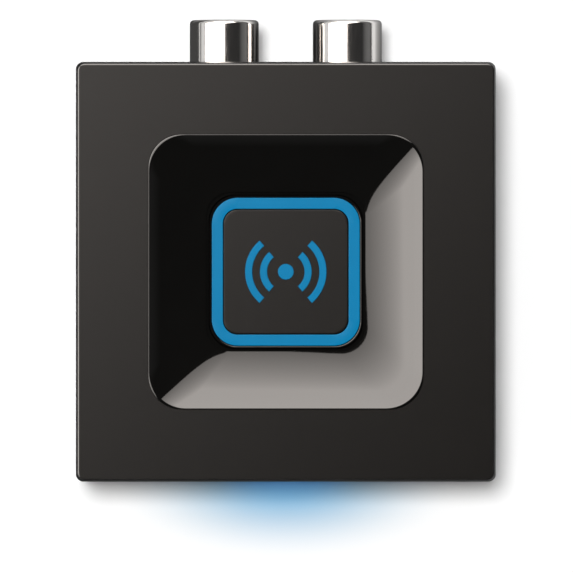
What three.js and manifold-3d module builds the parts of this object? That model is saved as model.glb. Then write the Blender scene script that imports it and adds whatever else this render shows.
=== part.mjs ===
// A desktop wireless audio receiver: a square two-part housing with a dished gloss bezel round one large
// push button, a recessed rear bay of sockets, and a circuit board with a tactile switch under the button.
//
// Frame: millimetres, +Z up, +Y towards the rear sockets, +X to the right seen from above with the rear away
// from the viewer. The origin is the centre of the underside of the rubber pad that the receiver stands on.

import * as THREE from "three";
import { mergeVertices } from "three/addons/utils/BufferGeometryUtils.js";
import Module from "manifold-3d";

const wasm = await Module();
wasm.setup();

// ---------------------------------------------------------------- driving dimensions

const GAP = 0.05; // assembly gap between pieces that touch
const SLIDE = 0.15; // running gap round the button

const BODY = 50.8; // width and depth of the housing
const TOP = 24.4; // height of the housing's top face
const WALL = 2.0; // thickness of the housing's walls and roof
const CORNER = 0.9; // radius of the housing's upright corners
const EDGE = 0.4; // rounding of the housing's top edge
const PARTING = 3.2; // height of the joint between housing and base
const ROOF = TOP - WALL;
const INSIDE = BODY / 2 - WALL; // half of the clear width between the walls

const BASE_INSET = 0.5; // how far the base stands back under the housing
const BASE_BOTTOM = 0.6;
const BASE_FLOOR = 3.0; // upper face of the base plate
const BASE_CHAMFER = 0.5;
const RIM_TOP = 4.95; // top of the base's locating rim, which also carries the board
const RIM_THICK = 1.2;

const PAD = 35.0; // width of the rubber pad
const PAD_CORNER = 5.0;
const PAD_THICK = 1.35;

const SCREW_SPOTS = [
  [-21.1, -21.1],
  [21.1, -21.1],
  [-21.2, 4.2],
  [21.2, 4.2],
];
const BOSS_R = 2.4;
const PILOT_R = 1.0;
const SCREW_R = 0.95;
const SCREW_HEAD_R = 1.8;
const SCREW_SEAT = 1.9; // height of the shoulder that a screw head pulls against
const SCREW_TIP = 9.6;

const BAY = { half: 22.0, low: 5.4, high: 18.6, floor: 21.2 }; // the recess for the sockets in the rear wall
const BAY_ROOF = 1.8; // thickness of the shelf over the bay
const PANEL_THICK = 1.4;
const PANEL_LAP = 0.6; // how far the panel reaches past the bay's opening on each side
const PANEL_BACK = BAY.floor - PANEL_THICK;

const GUIDE = { half: 7.0, leg: 3.0, low: 1.35, front: -24.85, rear: -19.6 }; // the status light's guide

const BEZEL_HALF = 16.62; // half width of the dished bezel
const BEZEL_CORNER = 4.0;
const BEZEL_PROUD = 0.2; // how far the bezel's rim stands above the housing
const BEZEL_RIM = 0.12; // width of that rim
const COVE_OUTER = THREE.MathUtils.degToRad(32.5); // slope of the dish at its rim
const COVE_INNER = THREE.MathUtils.degToRad(3); // slope of the dish beside the button

const BUTTON_HALF = 9.2; // half width of the button's black surround
const BUTTON_CORNER = 3.1;
const BUTTON_TOP = 24.0;
const RING_OUTER = 8.95;
const RING_INNER = 7.6;
const RING_CORNER = 3.15;
const BUTTON_FLOOR = 23.0; // the face of the carrier that the ring and the cap sit on
const COLLAR_BOTTOM = 18.0; // lower end of the collar that guides the button
const COLLAR_THICK = 1.2;

const BOARD_BOTTOM = 5.0;
const BOARD_TOP = 6.6;
const BOARD_HALF = 22.6;
const BOARD_FRONT = -21.6;
const BOARD_REAR = 19.6;
const LED = { y: -20.6, width: 2.4, depth: 1.6, height: 0.65 }; // under the board's front edge

const PHONO_X = 7.5; // half of the pitch of the two phono sockets
const PHONO_HEIGHT = 12.0; // axis of the phono sockets
const PHONO_TIP = 30.67; // how far back the phono barrels reach
const PHONO_R = 4.2;
const SMALL_JACK_X = 17.2; // the audio jack at -X and the power jack at +X
const SMALL_JACK_HEIGHT = 9.8;
const SMALL_JACK_NOSE_R = 3.0;
const SMALL_JACK_TIP = 22.0;

// ---------------------------------------------------------------- materials

const paint = (color, roughness, metalness = 0) =>
  new THREE.MeshStandardMaterial({ color, roughness, metalness });

const softBlack = paint(0x3b3833, 0.62);
const baseBlack = paint(0x2a2826, 0.55);
const glossBlack = paint(0x0c0b0a, 0.08);
const capBlack = paint(0x302d2b, 0.5);
const blue = paint(0x1b80b4, 0.35);
const rubber = paint(0x1b1b1b, 0.9);
const clear = paint(0x9fd0f0, 0.1);
const nickel = paint(0xd0ccc8, 0.12, 1);
const gold = paint(0xd9b060, 0.25, 1);
const steel = paint(0x8f8f8f, 0.35, 1);
const tin = paint(0xb9bcc0, 0.3, 1);
const redPlastic = paint(0xa8161a, 0.4);
const whitePlastic = paint(0xe8e6e0, 0.4);
const jackBlack = paint(0x151515, 0.5);
const boardGreen = paint(0x1d5a35, 0.4);
const chipBlack = paint(0x1a1a1c, 0.6);
const aluminium = paint(0xc8c8cc, 0.3, 1);
const ceramicTan = paint(0xb59a72, 0.6);

// ---------------------------------------------------------------- shape helpers

// A closed geometry as a solid that can be cut and joined.
function solid(geometry) {
  const bare = geometry.clone();
  bare.deleteAttribute("normal");
  bare.deleteAttribute("uv");
  const merged = mergeVertices(bare, 1e-4);
  const triVerts = new Uint32Array(merged.index.array);
  const vertProperties = merged.attributes.position.array;
  return new wasm.Manifold(new wasm.Mesh({ numProp: 3, vertProperties, triVerts }));
}

const joined = (first, ...rest) => rest.reduce((sum, next) => sum.add(next), first);
const carved = (first, ...rest) => rest.reduce((left, tool) => left.subtract(tool), first);

// The geometry of a solid, with flat normals.
function geometryOf(made) {
  const mesh = made.getMesh();
  const positions = new THREE.BufferAttribute(new Float32Array(mesh.vertProperties), 3);
  const geometry = new THREE.BufferGeometry().setAttribute("position", positions);
  geometry.setIndex(new THREE.BufferAttribute(new Uint32Array(mesh.triVerts), 1));
  const flat = geometry.toNonIndexed();
  flat.computeVertexNormals();
  return flat;
}

function roundedShape(halfX, halfY, radius) {
  const shape = new THREE.Shape();
  const quarter = Math.PI / 2;
  shape.absarc(halfX - radius, halfY - radius, radius, 0, quarter);
  shape.absarc(radius - halfX, halfY - radius, radius, quarter, 2 * quarter);
  shape.absarc(radius - halfX, radius - halfY, radius, 2 * quarter, 3 * quarter);
  shape.absarc(halfX - radius, radius - halfY, radius, 3 * quarter, 4 * quarter);
  shape.closePath();
  return shape;
}

// A shape drawn in X and Y, raised from low to high, with both end edges chamfered by edge. An arc in the
// shape becomes twice as many straight steps as curveSegments.
function raised(shape, low, high, edge = 0, curveSegments = 1) {
  const options = { depth: high - low - 2 * edge, curveSegments, bevelEnabled: edge > 0 };
  Object.assign(options, { bevelThickness: edge, bevelSize: edge, bevelOffset: -edge, bevelSegments: 1 });
  return solid(new THREE.ExtrudeGeometry(shape, options).translate(0, 0, low + edge));
}

const roundedBlock = (half, radius, low, high, edge = 0, curveSegments = 1) =>
  raised(roundedShape(half, half, radius), low, high, edge, curveSegments);

const FINE = 2; // curveSegments of the large corners, which lie close inside one another

function block(x0, x1, y0, y1, z0, z1) {
  const geometry = new THREE.BoxGeometry(x1 - x0, y1 - y0, z1 - z0);
  return solid(geometry.translate((x0 + x1) / 2, (y0 + y1) / 2, (z0 + z1) / 2));
}

const blockAt = (x, y, width, depth, low, high) =>
  block(x - width / 2, x + width / 2, y - depth / 2, y + depth / 2, low, high);

// An upright cylinder.
function post(x, y, radius, low, high, sides = 16) {
  const geometry = new THREE.CylinderGeometry(radius, radius, high - low, sides);
  return solid(geometry.rotateX(Math.PI / 2).translate(x, y, (low + high) / 2));
}

// A cylinder that lies along Y.
function rod(x, z, radius, front, rear, sides = 24) {
  const geometry = new THREE.CylinderGeometry(radius, radius, rear - front, sides);
  return solid(geometry.translate(x, (front + rear) / 2, z));
}

// A solid of revolution about Y, from [radius, y] points that run towards +Y on the outside.
function turned(profile, sides = 24) {
  const points = profile.map(([radius, y]) => new THREE.Vector2(radius, y));
  return solid(new THREE.LatheGeometry([...points, points[0]], sides));
}

// A solid of revolution about Z, from [radius, z] points that run upwards on the outside.
function turnedUpright(profile, sides = 16) {
  const points = profile.map(([radius, z]) => new THREE.Vector2(radius, z));
  return solid(new THREE.LatheGeometry([...points, points[0]], sides).rotateX(Math.PI / 2));
}

// A rounded square outline at a height, anticlockwise from above, with the same point count at any size.
function outline([half, radius, z], steps = 2 * FINE) {
  const points = [];
  for (let corner = 0; corner < 4; corner++) {
    const turn = (corner * Math.PI) / 2;
    const centre = new THREE.Vector2(half - radius, half - radius).rotateAround(new THREE.Vector2(), turn);
    for (let i = 0; i <= steps; i++) {
      const angle = turn + ((i / steps) * Math.PI) / 2;
      const x = centre.x + radius * Math.cos(angle);
      const y = centre.y + radius * Math.sin(angle);
      points.push([x, y, z]);
    }
  }
  return points;
}

// A ring-shaped solid whose section runs through [half, radius, z] stations, anticlockwise in its section.
function band(stations) {
  const rings = stations.map((station) => outline(station));
  const count = rings[0].length;
  const index = [];
  rings.forEach((_, i) => {
    const next = (i + 1) % rings.length;
    for (let k = 0; k < count; k++) {
      const after = (k + 1) % count;
      const [a, b] = [i * count + k, i * count + after];
      const [c, d] = [next * count + after, next * count + k];
      index.push(a, b, c, a, c, d);
    }
  });
  const geometry = new THREE.BufferGeometry();
  geometry.setAttribute("position", new THREE.Float32BufferAttribute(rings.flat(2), 3));
  return solid(geometry.setIndex(index));
}

function addPart(group, name, made, material, position = [0, 0, 0]) {
  const mesh = new THREE.Mesh(geometryOf(made), material);
  mesh.name = name;
  mesh.position.set(...position);
  group.add(mesh);
}

// ---------------------------------------------------------------- housing, base and pad

const OVER = 1; // how far a cut runs past the faces that it goes through
const INTO = 0.5; // how far a piece to be joined runs into its neighbour

const atScrews = (radius, low, high, sides) =>
  SCREW_SPOTS.map(([x, y]) => post(x, y, radius, low, high, sides));

// The housing is open underneath. Its bosses take the screws, and the rear bay is a tunnel whose floor is the
// base's sill.
function topHousing() {
  const shell = carved(
    roundedBlock(BODY / 2, CORNER, PARTING - EDGE, TOP, EDGE),
    blockAt(0, 0, BODY + OVER, BODY + OVER, PARTING - OVER, PARTING),
    roundedBlock(INSIDE, CORNER / 2, PARTING - OVER, ROOF),
    roundedBlock(BEZEL_HALF + GAP, BEZEL_CORNER + GAP, ROOF - OVER, TOP + OVER, 0, FINE),
  );
  const bosses = atScrews(BOSS_R, BASE_FLOOR + GAP, ROOF + INTO);
  const pilots = atScrews(PILOT_R, BASE_FLOOR - OVER, SCREW_TIP + OVER, 12);
  const outer = INSIDE + INTO;
  const tunnel = block(-outer, outer, PANEL_BACK, outer, RIM_TOP + GAP, BAY.high + BAY_ROOF);
  const mouth = block(-BAY.half, BAY.half, PANEL_BACK - OVER, BODY / 2 + OVER, PARTING - OVER, BAY.high);
  const seatHalf = BAY.half + PANEL_LAP + GAP;
  const seatTop = BAY.high + PANEL_LAP + GAP;
  const seat = block(-seatHalf, seatHalf, PANEL_BACK - OVER, BAY.floor + GAP, PARTING - OVER, seatTop);
  return carved(joined(shell, ...bosses, tunnel), mouth, seat, ...pilots);
}

// The base is a plate with a rim that fits inside the housing, posts under the board, and a sill that closes
// the rear bay and holds the panel's lower edge. The pad, the light guide and the screw heads have recesses.
function baseCover() {
  const plate = carved(
    roundedBlock(BODY / 2 - BASE_INSET, CORNER, BASE_BOTTOM, BASE_FLOOR + OVER, BASE_CHAMFER),
    blockAt(0, 0, BODY, BODY, BASE_FLOOR, BASE_FLOOR + 2 * OVER),
  );
  const rimOuter = INSIDE - 2 * GAP;
  const rim = carved(
    roundedBlock(rimOuter, CORNER, BASE_FLOOR - INTO, RIM_TOP),
    roundedBlock(rimOuter - RIM_THICK, CORNER, BASE_FLOOR - OVER, RIM_TOP + OVER),
    block(-BODY, BODY, PANEL_BACK, BODY, BASE_FLOOR, RIM_TOP + OVER),
    ...atScrews(BOSS_R + SLIDE, BASE_FLOOR, RIM_TOP + OVER),
  );
  const sillHalf = BAY.half - GAP;
  const sill = carved(
    block(-sillHalf, sillHalf, PANEL_BACK, BODY / 2 - GAP, BASE_FLOOR - INTO, BAY.low),
    block(-BODY, BODY, PANEL_BACK - OVER, BAY.floor + GAP, BAY.low - PANEL_LAP, BAY.low + OVER),
  );
  const posts = [-14, 14].flatMap((x) => [-8, 8].map((y) => post(x, y, 1.6, BASE_FLOOR - INTO, RIM_TOP, 12)));
  const guideHalf = GUIDE.half + 2 * GAP;
  return carved(
    joined(plate, rim, sill, ...posts),
    roundedBlock(PAD / 2 + 2 * GAP, PAD_CORNER + 2 * GAP, BASE_BOTTOM - OVER, PAD_THICK + GAP),
    block(-guideHalf, guideHalf, -BODY / 2, GUIDE.rear + 2 * GAP, GUIDE.low - GAP, RIM_TOP + OVER),
    ...atScrews(SCREW_HEAD_R + 2 * SLIDE, BASE_BOTTOM - OVER, SCREW_SEAT),
    ...atScrews(SCREW_R + SLIDE, BASE_BOTTOM, BASE_FLOOR + OVER, 12),
  );
}

// The rubber pad has two moulded grooves that follow its outline.
function basePad() {
  const grooveDepth = 0.35;
  const grooveWidth = 0.9;
  const grooves = [2.3, 5.1].map((inset) => {
    const half = PAD / 2 - inset;
    const corner = Math.max(PAD_CORNER - inset, 2);
    return carved(
      roundedBlock(half, corner, -OVER, grooveDepth),
      roundedBlock(half - grooveWidth, corner - grooveWidth, -2 * OVER, 2 * OVER),
    );
  });
  return carved(roundedBlock(PAD / 2, PAD_CORNER, 0, PAD_THICK, 0.25), ...grooves);
}

// A pan-head self-tapping screw, head down, with a cross recess.
function baseScrew() {
  const headLow = SCREW_SEAT - 1.15;
  const profile = [
    [0, headLow],
    [SCREW_HEAD_R - 0.5, headLow],
    [SCREW_HEAD_R, headLow + 0.45],
    [SCREW_HEAD_R, SCREW_SEAT - GAP],
    [SCREW_R, SCREW_SEAT - GAP],
    [SCREW_R, SCREW_TIP - 0.8],
    [0, SCREW_TIP],
  ];
  const cross = { length: 1.9, width: 0.42, depth: 0.55 };
  const slots = [0, Math.PI / 2].map((turn) => {
    const slot = new THREE.BoxGeometry(cross.length, cross.width, 2 * cross.depth);
    return solid(slot.rotateZ(turn).translate(0, 0, headLow));
  });
  return carved(turnedUpright(profile), ...slots);
}

// The light guide carries the status light from under the board's front edge to the base's front face.
function lightGuide() {
  const legTop = BOARD_BOTTOM - LED.height - 2 * GAP;
  const bar = block(-GUIDE.half, GUIDE.half, GUIDE.front, GUIDE.rear, GUIDE.low, PARTING - GAP);
  const leg = block(-GUIDE.leg, GUIDE.leg, LED.y - LED.depth, GUIDE.rear, GUIDE.low, legTop);
  return joined(bar, leg);
}

// ---------------------------------------------------------------- bezel and button

const COVE_START = BUTTON_HALF + 0.46; // the dish runs from the shadow gap round the button out to the rim
const COVE_START_CORNER = 3.0;
const SHADOW_GAP_DEPTH = 1.0;
const COVE_END = BEZEL_HALF - BEZEL_RIM;
const COVE_R = (COVE_END - COVE_START) / (Math.sin(COVE_OUTER) - Math.sin(COVE_INNER));
const COVE_CENTRE = COVE_START - COVE_R * Math.sin(COVE_INNER);
const COVE_TOP = TOP + BEZEL_PROUD - BEZEL_RIM / 3;
const COVE_STEPS = 6;

// Stations of the dish from its rim down to the button, on an arc, with corners that tighten on the way.
function coveStations() {
  return Array.from({ length: COVE_STEPS + 1 }, (_, i) => {
    const slope = COVE_OUTER + (COVE_INNER - COVE_OUTER) * (i / COVE_STEPS);
    const half = COVE_CENTRE + COVE_R * Math.sin(slope);
    const z = COVE_TOP - COVE_R * (Math.cos(slope) - Math.cos(COVE_OUTER));
    const share = (half - COVE_START) / (COVE_END - COVE_START);
    const corner = COVE_START_CORNER + share * (BEZEL_CORNER - BEZEL_RIM - COVE_START_CORNER);
    return [half, corner, z];
  });
}

// The bezel's flange is bonded under the housing's roof, its rim fills the housing's opening, the dish runs
// down to a shadow gap round the button, and a collar below guides the button.
function dishBezel() {
  const flange = { half: BEZEL_HALF + 1.4, corner: BEZEL_CORNER + 1, top: ROOF - GAP, thick: 1.2 };
  const flangeBottom = flange.top - flange.thick;
  const rimTop = TOP + BEZEL_PROUD;
  const rimEdge = BEZEL_RIM / 3;
  const cove = coveStations();
  const ledge = cove.at(-1)[2] - SHADOW_GAP_DEPTH;
  const hole = [BUTTON_HALF + SLIDE, BUTTON_CORNER + SLIDE];
  const collar = hole.map((size) => size + COLLAR_THICK);
  return band([
    [flange.half, flange.corner, flangeBottom],
    [flange.half, flange.corner, flange.top],
    [BEZEL_HALF, BEZEL_CORNER, flange.top],
    [BEZEL_HALF, BEZEL_CORNER, rimTop - rimEdge],
    [BEZEL_HALF - rimEdge, BEZEL_CORNER - rimEdge, rimTop],
    [BEZEL_HALF - 2 * rimEdge, BEZEL_CORNER - 2 * rimEdge, rimTop],
    ...cove,
    [COVE_START, COVE_START_CORNER, ledge],
    [...hole, ledge],
    [...hole, COLLAR_BOTTOM],
    [...collar, COLLAR_BOTTOM],
    [...collar, flangeBottom - 0.9],
    [COVE_END, BEZEL_CORNER - BEZEL_RIM, flangeBottom],
  ]);
}

// The carrier is a tray for the ring and the cap, with a skirt that slides in the bezel's collar, a post that
// presses the switch, and a catch on each side that stops it lifting out.
function buttonCarrier() {
  const trayBottom = BUTTON_FLOOR - 1.2;
  const skirt = { bottom: COLLAR_BOTTOM - 0.9, thick: 1.0 };
  const inner = BUTTON_HALF - skirt.thick;
  const tray = carved(
    roundedBlock(BUTTON_HALF, BUTTON_CORNER, skirt.bottom, BUTTON_TOP, 0.12, FINE),
    roundedBlock(RING_OUTER + GAP, RING_CORNER + GAP, BUTTON_FLOOR, BUTTON_TOP + OVER, 0, FINE),
    roundedBlock(inner, BUTTON_CORNER - skirt.thick, skirt.bottom - OVER, trayBottom, 0, FINE),
  );
  const hook = { width: 4.0, reach: 0.7, top: COLLAR_BOTTOM - GAP };
  const rib = { thick: 0.9, height: 2.6 };
  const quarterTurns = [0, 1, 2, 3].map((side) => (side * Math.PI) / 2);
  const catches = quarterTurns.map((turn) => {
    const depth = skirt.thick + hook.reach;
    const piece = new THREE.BoxGeometry(hook.width, depth, hook.top - skirt.bottom);
    piece.translate(0, inner + depth / 2, (hook.top + skirt.bottom) / 2);
    return solid(piece.rotateZ(turn));
  });
  const ribs = quarterTurns.slice(0, 2).map((turn) => {
    const piece = new THREE.BoxGeometry(2 * (inner + INTO), rib.thick, rib.height);
    return solid(piece.rotateZ(turn).translate(0, 0, trayBottom + INTO - rib.height / 2));
  });
  const stem = post(0, 0, 1.5, SWITCH.plungerTop + GAP, trayBottom + INTO);
  return joined(tray, ...catches, ...ribs, stem);
}

const CAP_CORNER = 1.65;
const CAP_FLOOR = BUTTON_FLOOR + 0.35;
const CAP_TOP = BUTTON_TOP - 0.05;

const buttonRing = () =>
  carved(
    roundedBlock(RING_OUTER, RING_CORNER, BUTTON_FLOOR + GAP, BUTTON_TOP, 0.1, FINE),
    roundedBlock(RING_INNER, CAP_CORNER + 0.1, BUTTON_FLOOR - OVER, BUTTON_TOP + OVER, 0, FINE),
  );

// The wireless mark: a dot between two pairs of arcs, grown by spread all round.
const MARK = { dot: 0.95, radii: [2.7, 4.5], stroke: 0.85, reach: THREE.MathUtils.degToRad(50) };

function markPieces(low, high, spread) {
  const width = MARK.stroke / 2 + spread;
  const arcs = MARK.radii.flatMap((radius) =>
    [0, Math.PI].map((turn) => {
      const reach = MARK.reach + spread / radius;
      const shape = new THREE.Shape();
      shape.absarc(0, 0, radius + width, turn - reach, turn + reach, false);
      shape.absarc(0, 0, radius - width, turn + reach, turn - reach, true);
      shape.closePath();
      return raised(shape, low, high, 0, 5);
    }),
  );
  return [post(0, 0, MARK.dot + spread, low, high, 24), ...arcs];
}

const buttonCap = () =>
  carved(
    roundedBlock(RING_INNER - 0.1, CAP_CORNER, CAP_FLOOR, CAP_TOP, 0.08, FINE),
    ...markPieces(CAP_FLOOR - OVER, CAP_TOP + OVER, GAP),
  );

// The mark stands on a thin plate behind the cap, and fills the cap's slots.
const buttonIcon = () =>
  joined(
    roundedBlock(RING_INNER - 1.6, CAP_CORNER, BUTTON_FLOOR + GAP, CAP_FLOOR - GAP),
    ...markPieces(CAP_FLOOR - 0.15, CAP_TOP, 0),
  );

// ---------------------------------------------------------------- rear panel and sockets

function rearPanel() {
  const half = BAY.half + PANEL_LAP;
  const plate = block(-half, half, PANEL_BACK, BAY.floor, BAY.low - PANEL_LAP + GAP, BAY.high + PANEL_LAP);
  const hole = (x, z, radius) => rod(x, z, radius, PANEL_BACK - OVER, BAY.floor + OVER);
  const holes = [-1, 1].flatMap((side) => [
    hole(side * PHONO_X, PHONO_HEIGHT, PHONO_R + SLIDE),
    hole(side * SMALL_JACK_X, SMALL_JACK_HEIGHT, SMALL_JACK_NOSE_R + 2 * GAP),
  ]);
  return carved(plate, ...holes);
}

const SOCKET_FACE = PANEL_BACK - 2 * GAP; // rear face of the socket blocks, which the panel lies against
const PHONO_COLLAR = { radius: PHONO_R + 0.65, thick: 0.8 }; // the collar that the panel holds each barrel by
const SHELL_SEAT = 3.0; // how deep each barrel sits in the block

// The block that both phono barrels are moulded into, with a rebate between them.
function phonoBlock() {
  const size = { half: 13.2, depth: 9.1, top: PHONO_HEIGHT + 5.4 };
  const gap = { half: 2.4, low: PHONO_HEIGHT - 3 };
  const body = block(-size.half, size.half, SOCKET_FACE - size.depth, SOCKET_FACE, BOARD_TOP + GAP, size.top);
  const rebate = block(-gap.half, gap.half, SOCKET_FACE - SHELL_SEAT, BODY, gap.low, size.top + OVER);
  const collarSeat = SOCKET_FACE - PHONO_COLLAR.thick - GAP;
  const wells = [-PHONO_X, PHONO_X].flatMap((x) => [
    rod(x, PHONO_HEIGHT, PHONO_R + 2 * GAP, SOCKET_FACE - 2 * SHELL_SEAT, SOCKET_FACE + OVER),
    rod(x, PHONO_HEIGHT, PHONO_COLLAR.radius + 2 * GAP, collarSeat, SOCKET_FACE + OVER),
  ]);
  return carved(body, rebate, ...wells);
}

// The next four shapes are turned about the socket's axis, with y counted from the socket block's rear face.
const PHONO_REACH = PHONO_TIP - SOCKET_FACE;
const SHELL_BORE = PHONO_R - 0.65;
const PIN_BORE = 1.62; // takes the plug's centre pin
const CONTACT_R = 1.9;

const phonoShell = () =>
  turned([
    [PHONO_R, -SHELL_SEAT],
    [PHONO_R, -PHONO_COLLAR.thick],
    [PHONO_COLLAR.radius, -PHONO_COLLAR.thick],
    [PHONO_COLLAR.radius, -GAP],
    [PHONO_R, -GAP],
    [PHONO_R, PHONO_REACH - 0.3],
    [PHONO_R - 0.09, PHONO_REACH - 0.09],
    [PHONO_R - 0.3, PHONO_REACH],
    [SHELL_BORE + 0.1, PHONO_REACH],
    [SHELL_BORE, PHONO_REACH - 0.1],
    [SHELL_BORE, -SHELL_SEAT],
  ]);

const phonoInsulator = () =>
  turned([
    [CONTACT_R + GAP, -5],
    [SHELL_BORE - GAP, -5],
    [SHELL_BORE - GAP, PHONO_REACH - 0.7],
    [SHELL_BORE - 0.2, PHONO_REACH - 0.55],
    [CONTACT_R + 0.45, PHONO_REACH - 0.55],
    [CONTACT_R + GAP, PHONO_REACH - 0.95],
  ]);

const phonoContact = () =>
  turned(
    [
      [PIN_BORE, -4.5],
      [CONTACT_R, -4.5],
      [CONTACT_R, PHONO_REACH - 1.3],
      [PIN_BORE + 0.1, PHONO_REACH - 1.2],
      [PIN_BORE, PHONO_REACH - 1.3],
    ],
    16,
  );

const NOSE_SEAT = 1.2; // how deep a small jack's nose sits in its body

function jackNose(bore) {
  const reach = SMALL_JACK_TIP - SOCKET_FACE;
  return turned([
    [SMALL_JACK_NOSE_R, -NOSE_SEAT],
    [SMALL_JACK_NOSE_R, reach - 0.2],
    [SMALL_JACK_NOSE_R - 0.2, reach],
    [bore + 0.25, reach],
    [bore, reach - 0.25],
    [bore, -NOSE_SEAT],
  ]);
}

// A small jack's moulded body about its axis: a block on the board with a bore, open to the rear, and a wider
// seat for the nose.
const JACK_HALF = 3.4;
const JACK_FOOT = BOARD_TOP + GAP - SMALL_JACK_HEIGHT;

const jackBody = ({ bore, length, depth }) =>
  carved(
    block(-JACK_HALF, JACK_HALF, -length, 0, JACK_FOOT, JACK_HALF + 0.1),
    rod(0, 0, bore, -depth, OVER),
    rod(0, 0, SMALL_JACK_NOSE_R + GAP, -NOSE_SEAT - GAP, OVER),
  );

const AUDIO = { bore: 1.85, length: 12.0, depth: 11.0 };
const POWER = { bore: 2.1, length: 10.5, depth: 9.0 };
const LEAF_SPOTS = {
  audio_jack_tip_contact: -9.6,
  audio_jack_ring_contact: -6.4,
  audio_jack_sleeve_contact: -3.4,
};

// The leaf contacts stand on alternate sides, in slots that open into the bore.
const leafSide = (i) => (i % 2 ? -1 : 1);

function audioJackBody() {
  const slots = Object.values(LEAF_SPOTS).map((y, i) =>
    blockAt(leafSide(i) * 2.65, y, 2.1, 1.9, JACK_FOOT - 1, 2.2),
  );
  return carved(jackBody(AUDIO), ...slots);
}

// A bent leaf contact: an upright leaf beside the bore and a foot on the board.
const leafContact = (side) =>
  joined(
    blockAt(side * 2.1, 0, 0.25, 1.6, JACK_FOOT + 0.1, 1.9),
    blockAt(side * 2.9, 0, 1.8, 1.6, JACK_FOOT, JACK_FOOT + 0.25),
  );

const powerJackBody = () => carved(jackBody(POWER), blockAt(0, -5, 2.2, 5.2, JACK_FOOT - 1, -1));

const powerPin = () =>
  turned(
    [
      [0, -POWER.depth + GAP],
      [0.8, -POWER.depth + GAP],
      [0.8, 0.6],
      [0.45, 1.0],
      [0, 1.0],
    ],
    16,
  );

const powerSpring = () =>
  joined(blockAt(0, -5, 1.8, 4.6, -2.5, -2.25), blockAt(0, -7.2, 1.8, 0.25, JACK_FOOT, -2.3));

// ---------------------------------------------------------------- switch, board and components

const SWITCH = { half: 3.0, top: 9.7, floor: 8.3, plungerTop: 11.4, well: 2.4 };

const switchBody = () =>
  carved(
    blockAt(0, 0, 2 * SWITCH.half, 2 * SWITCH.half, BOARD_TOP + GAP, SWITCH.top),
    post(0, 0, SWITCH.well, SWITCH.floor, SWITCH.top + 1, 24),
  );

// The switch's metal frame: a lid with a hole for the plunger, and a leg down each side of the body.
function switchFrame() {
  const sheet = 0.25;
  const half = SWITCH.half + GAP + sheet;
  const lidTop = SWITCH.top + GAP + sheet;
  const cover = joined(
    blockAt(0, 0, 2 * half, 2 * SWITCH.half, SWITCH.top + GAP, lidTop),
    block(-half, -half + sheet, -1.6, 1.6, BOARD_TOP + GAP, lidTop),
    block(half - sheet, half, -1.6, 1.6, BOARD_TOP + GAP, lidTop),
  );
  return carved(cover, post(0, 0, PLUNGER.radius + SLIDE, SWITCH.top - OVER, SWITCH.top + OVER));
}

const PLUNGER = { radius: 1.7, flange: 2.2, low: 9.15, flangeTop: 9.55 };

const switchPlunger = () =>
  turnedUpright([
    [0, PLUNGER.low],
    [PLUNGER.flange, PLUNGER.low],
    [PLUNGER.flange, PLUNGER.flangeTop],
    [PLUNGER.radius, PLUNGER.flangeTop],
    [PLUNGER.radius, SWITCH.plungerTop - 0.2],
    [PLUNGER.radius - 0.2, SWITCH.plungerTop],
    [0, SWITCH.plungerTop],
  ]);

// The snap dome arches from the well's floor to just under the plunger.
function switchDome() {
  const low = SWITCH.floor + 0.02;
  const high = PLUNGER.low - GAP;
  const sheet = 0.12;
  return turnedUpright([
    [2.2, low],
    [2.3, low],
    [1.5, low + 0.6],
    [0.6, high],
    [0, high],
    [0, high - sheet],
    [0.55, high - sheet],
    [1.4, low + 0.48],
  ]);
}

// The board's edges are notched round the screw bosses, and its front corners are cut off outside them.
function mainBoard() {
  const notchR = BOSS_R + 0.25;
  const [low, high] = [BOARD_BOTTOM - OVER, BOARD_TOP + OVER];
  const notches = SCREW_SPOTS.flatMap(([x, y]) => {
    const outside = x + Math.sign(x) * notchR;
    return [post(x, y, notchR, low, high), blockAt(outside, y, 2 * notchR, 2 * notchR, low, high)];
  });
  const corners = SCREW_SPOTS.filter(([, y]) => y < 0).map(([x, y]) =>
    blockAt(x + Math.sign(x) * notchR, y - notchR, 4 * notchR, 2 * notchR, low, high),
  );
  const board = block(-BOARD_HALF, BOARD_HALF, BOARD_FRONT, BOARD_REAR, BOARD_BOTTOM, BOARD_TOP);
  return carved(board, ...notches, ...corners);
}

// A chip in a moulded case, with a row of leads along each long side that drop from the case to the board.
function chip(width, depth, height, leads, leadPitch) {
  const shoulder = height * 0.55;
  const reach = depth / 2;
  const lead = new THREE.Shape([
    new THREE.Vector2(-reach - 1.0, 0),
    new THREE.Vector2(reach + 1.0, 0),
    new THREE.Vector2(reach + 1.0, 0.2),
    new THREE.Vector2(reach + 0.5, shoulder),
    new THREE.Vector2(-reach - 0.5, shoulder),
    new THREE.Vector2(-reach - 1.0, 0.2),
  ]);
  const thick = leadPitch * 0.4;
  const pins = Array.from({ length: leads }, (_, i) => {
    const x = (i - (leads - 1) / 2) * leadPitch - thick / 2;
    const geometry = new THREE.ExtrudeGeometry(lead, { depth: thick, bevelEnabled: false });
    return solid(geometry.rotateX(Math.PI / 2).rotateZ(Math.PI / 2).translate(x, 0, 0));
  });
  return joined(blockAt(0, 0, width, depth, 0.1, height), ...pins);
}

const regulator = () =>
  joined(
    blockAt(0, 0, 6.5, 3.5, 0.1, 1.7),
    blockAt(0, 2.6, 3.0, 1.9, 0, 0.3),
    ...[-2.3, 0, 2.3].map((x) => blockAt(x, -2.6, 0.7, 1.9, 0, 0.3)),
  );

// A surface-mount electrolytic capacitor: a square foot and a can with a rolled shoulder.
const capacitor = () =>
  joined(
    raised(roundedShape(2.65, 2.65, 0.5), 0, 0.7),
    turnedUpright(
      [
        [0, 0.5],
        [2.5, 0.5],
        [2.5, 6.4],
        [2.3, 6.7],
        [0, 6.7],
      ],
      14,
    ),
  );

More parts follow.
